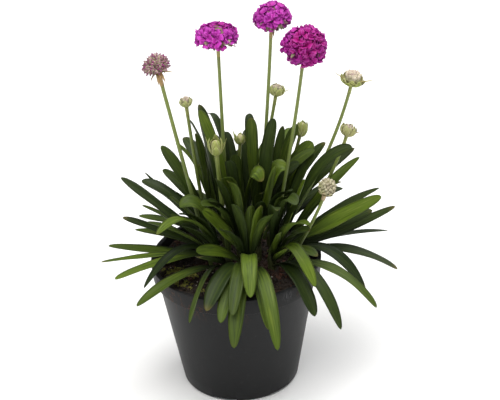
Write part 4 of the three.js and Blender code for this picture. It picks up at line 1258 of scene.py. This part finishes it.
for flower in of_kind("rosebud", "bud"):
    name, radius = flower["name"], flower["radius"]
    bits = Gathering()
    middle, turn = upright_frame(flower)
    add_core(bits, flower, 0.72, (0.3, 0.3, 0.6) if name == "01" else (0, 0.5, 0.1))
    for direction in spread(*INNER_BUDS[name], 0.02):
        place = direction * [1, 1, flower["flat"]] * radius * dice.uniform(0.76, 0.92)
        if name == "01":
            place = place + np.array([-1.0, 0, -1.6]) * max(0, -direction[0])
            axis = direction + dice.normal(0, 0.2, 3)
            long, wide = dice.uniform(3.4, 5), dice.uniform(0.85, 1.25)
        elif name == "09":
            axis = direction + dice.normal(0, 0.35, 3)
            long, wide = dice.uniform(2.8, 3.8), dice.uniform(1.2, 1.6)
        else:
            place = place * 0.72
            axis = direction + [0, 0, 0.5] + dice.normal(0, 0.1, 3)
            long, wide = radius * 0.75, radius * 0.27 * dice.uniform(0.85, 1.15)
        bud = bud_rings(middle + place @ turn.T, unit(axis) @ turn.T, long, wide)
        bits.add(bud, BUD_PLACES, bud_tone(name, direction))
    bits.settle("buds_" + name, husk_material, "bud", "head_" + name)
    if name == "01":
        continue
    wraps = Gathering()
    for count, start, end, off, flare, whiteness in HEAD_SCALES[name]:
        width = radius * 7.2 / count
        for azimuth in whorl(count):
            drier = dice.uniform(0, 0.12) + (0.15 if name == "08" else 0)
            paler = np.clip(whiteness + dice.uniform(-0.2, 0.15), 0, 1)
            tone = (drier, paler, dice.uniform(0, 0.8) * (name in ("07", "09")))
            reach = end + dice.uniform(-5, 5)
            rings = scale_rings(flower, azimuth, start, reach, width, off, flare * dice.uniform(0.7, 1.3))
            wraps.add(rings, SCALE_PLACES, tone)
    wraps.settle("bud_scales_" + name, scale_material, "bud")

# The green buds: four young heads among the leaves, each set on the end of its stem and wrapped in
# overlapping pointed green scales. Two of them also have long upright scales that stand out.

GREEN_SCALES = {
    "10": [(5, 172, 16, 0.00, 0.2), (5, 174, 34, 0.08, 0.7), (4, 176, 70, 0.14, 0.9)],
    "11": [(5, 172, 44, 0.00, 0.5), (5, 174, 60, 0.08, 1.4), (4, 176, 84, 0.14, 0.8)],
    "12": [(5, 172, 24, 0.00, 0.6), (4, 174, 34, 0.08, 2.0), (4, 176, 66, 0.14, 1.6)],
    "13": [(4, 172, 16, 0.00, 0.3), (4, 174, 36, 0.08, 1.0)],
}
for flower in of_kind("green"):
    name, radius = flower["name"], flower["radius"]
    bits = Gathering()
    add_core(bits, flower, 0.86, (0, 0.75, 0.3))
    for count, start, end, off, flare in GREEN_SCALES[name]:
        width = radius * 6.6 / count
        for azimuth in whorl(count):
            reach = end + dice.uniform(-6, 6)
            rings = scale_rings(flower, azimuth, start, reach, width, off, flare * dice.uniform(0.7, 1.3))
            bits.add(rings, SCALE_PLACES, (dice.uniform(0, 0.12), 0.08, 0))
    if name in ("11", "12"):
        for azimuth, long, lift in [(-0.2, 3.2, 9.5), (2.6, 2.8, 8.5), (-1.9, 2.4, 7.5)]:
            rings = bract_rings(flower, azimuth, radius * 0.9 + long, lift + radius, 1.3)
            bits.add(rings, SCALE_PLACES, (0, 0.15, 0))
    bits.settle("green_bud_" + name, scale_material, "green_bud", "head_" + name)

# The bracts: the dry bracts that stand out from under each head, as the plant shows them in front and
# by the same habit behind, and the sheath that grips the stem below, torn at its lower edge.

# Each row: the azimuth of a bract, how long it is, how far its tip lifts and how dry it is
BRACTS = {
    "01": [
        (-100, 5, -7, 1), (-60, 5, -6, 1), (-150, 5, -4, 1),
        (-5, 8, -2, 0.8), (60, 5, -5, 1), (120, 6, -4, 1),
    ],
    "02": [(-30, 3, 2, 0.2), (150, 3, 2, 0.2)],
    "03": [
        (-176, 10, -2.5, 0.8), (-8, 11, -2.5, 0.8), (-110, 5, -2, 0.9),
        (-60, 6, -3, 0.9), (50, 9, -2, 0.8), (130, 8, -3, 1),
    ],
    "04": [
        (-75, 4, -7, 1), (-50, 4, -4, 1), (-20, 7, -1, 0.9),
        (60, 7, -3, 1), (140, 7, -3, 1), (190, 6, -2, 1),
    ],
    "05": [(-90, 3, -2, 0.8), (30, 4, -2, 0.8), (150, 4, -2, 0.8)],
    "06": [(-8, 8, 4.5, 0.3), (160, 4, 2.5, 0.3)],
    "07": [(178, 12, 5, 0.5), (-4, 13, 4.5, 0.5), (-70, 7, 1.5, 0.3), (70, 10, 4, 0.5), (120, 8, 3, 0.4)],
    "08": [(-6, 8, 4, 0.8), (100, 6, 3, 0.8), (200, 5, 3, 0.7)],
    "09": [(-60, 4, -2, 0.6), (60, 4, -1, 0.6), (180, 4, 0, 0.6)],
}
SHEATH_TONES = {
    "01": (0.95, 0.1, 0), "03": (0.5, 0.1, 0), "04": (0.7, 0.1, 0),
    "05": (0.45, 0, 0), "09": (0.5, 0.75, 0.8),
}
for flower in of_kind("bloom", "rosebud", "bud"):
    name, kind, radius, top = flower["name"], flower["kind"], flower["radius"], -flower["seat"]
    bits = Gathering()
    middle, turn = upright_frame(flower)
    rim = radius * {"bloom": 0.3, "rosebud": 0.35, "bud": 0.5}[kind]
    snug = 1.75 if name in ("01", "09") else 1.45
    heights = np.array([top - 10.5, top - 7.5, top - 4.5, top - 2.2, top - 0.7, top + 0.4])
    radii = np.array([snug * 0.95, snug * 0.92, snug, snug * 1.25, rim * 0.9, rim * 0.5])
    torn = np.zeros((6, SHEATH_SIDES))
    torn[0] = dice.uniform(-1.6, 1.6, SHEATH_SIDES)
    torn[1] = torn[0] * 0.4
    line = UP * heights[:, None]
    sheath = rings_round(line, EAST, NORTH, radii[:, None], SHEATH_SIDES) + UP * torn[..., None]
    places = grid(np.linspace(0.5, 0, 6), np.full(SHEATH_SIDES, 0.5))
    bits.add(middle + sheath @ turn.T, places, SHEATH_TONES.get(name, (0.05, 0.15, 0)))
    for azimuth, long, lift, dryness in BRACTS[name]:
        rings = bract_rings(flower, math.radians(azimuth), long, lift, 1.5 if kind == "bloom" else 1.2)
        bits.add(rings, SCALE_PLACES, (dryness, 0.15, 0))
    bits.settle("bracts_under_" + name, scale_material, "bract", "bracts_" + name)

# The floor: a wide flat sheet of pale studio paper that the pot stands on. It belongs to the studio
# and is no part of the plant.

deselect()
bpy.ops.mesh.primitive_plane_add(size=8, location=(0, 0, 0))
floor = bpy.context.object
floor.name = "floor"
paper = Finish("studio_paper")
floor.data.materials.append(paper.surface(base_color=(0.93, 0.93, 0.93), roughness=0.9))
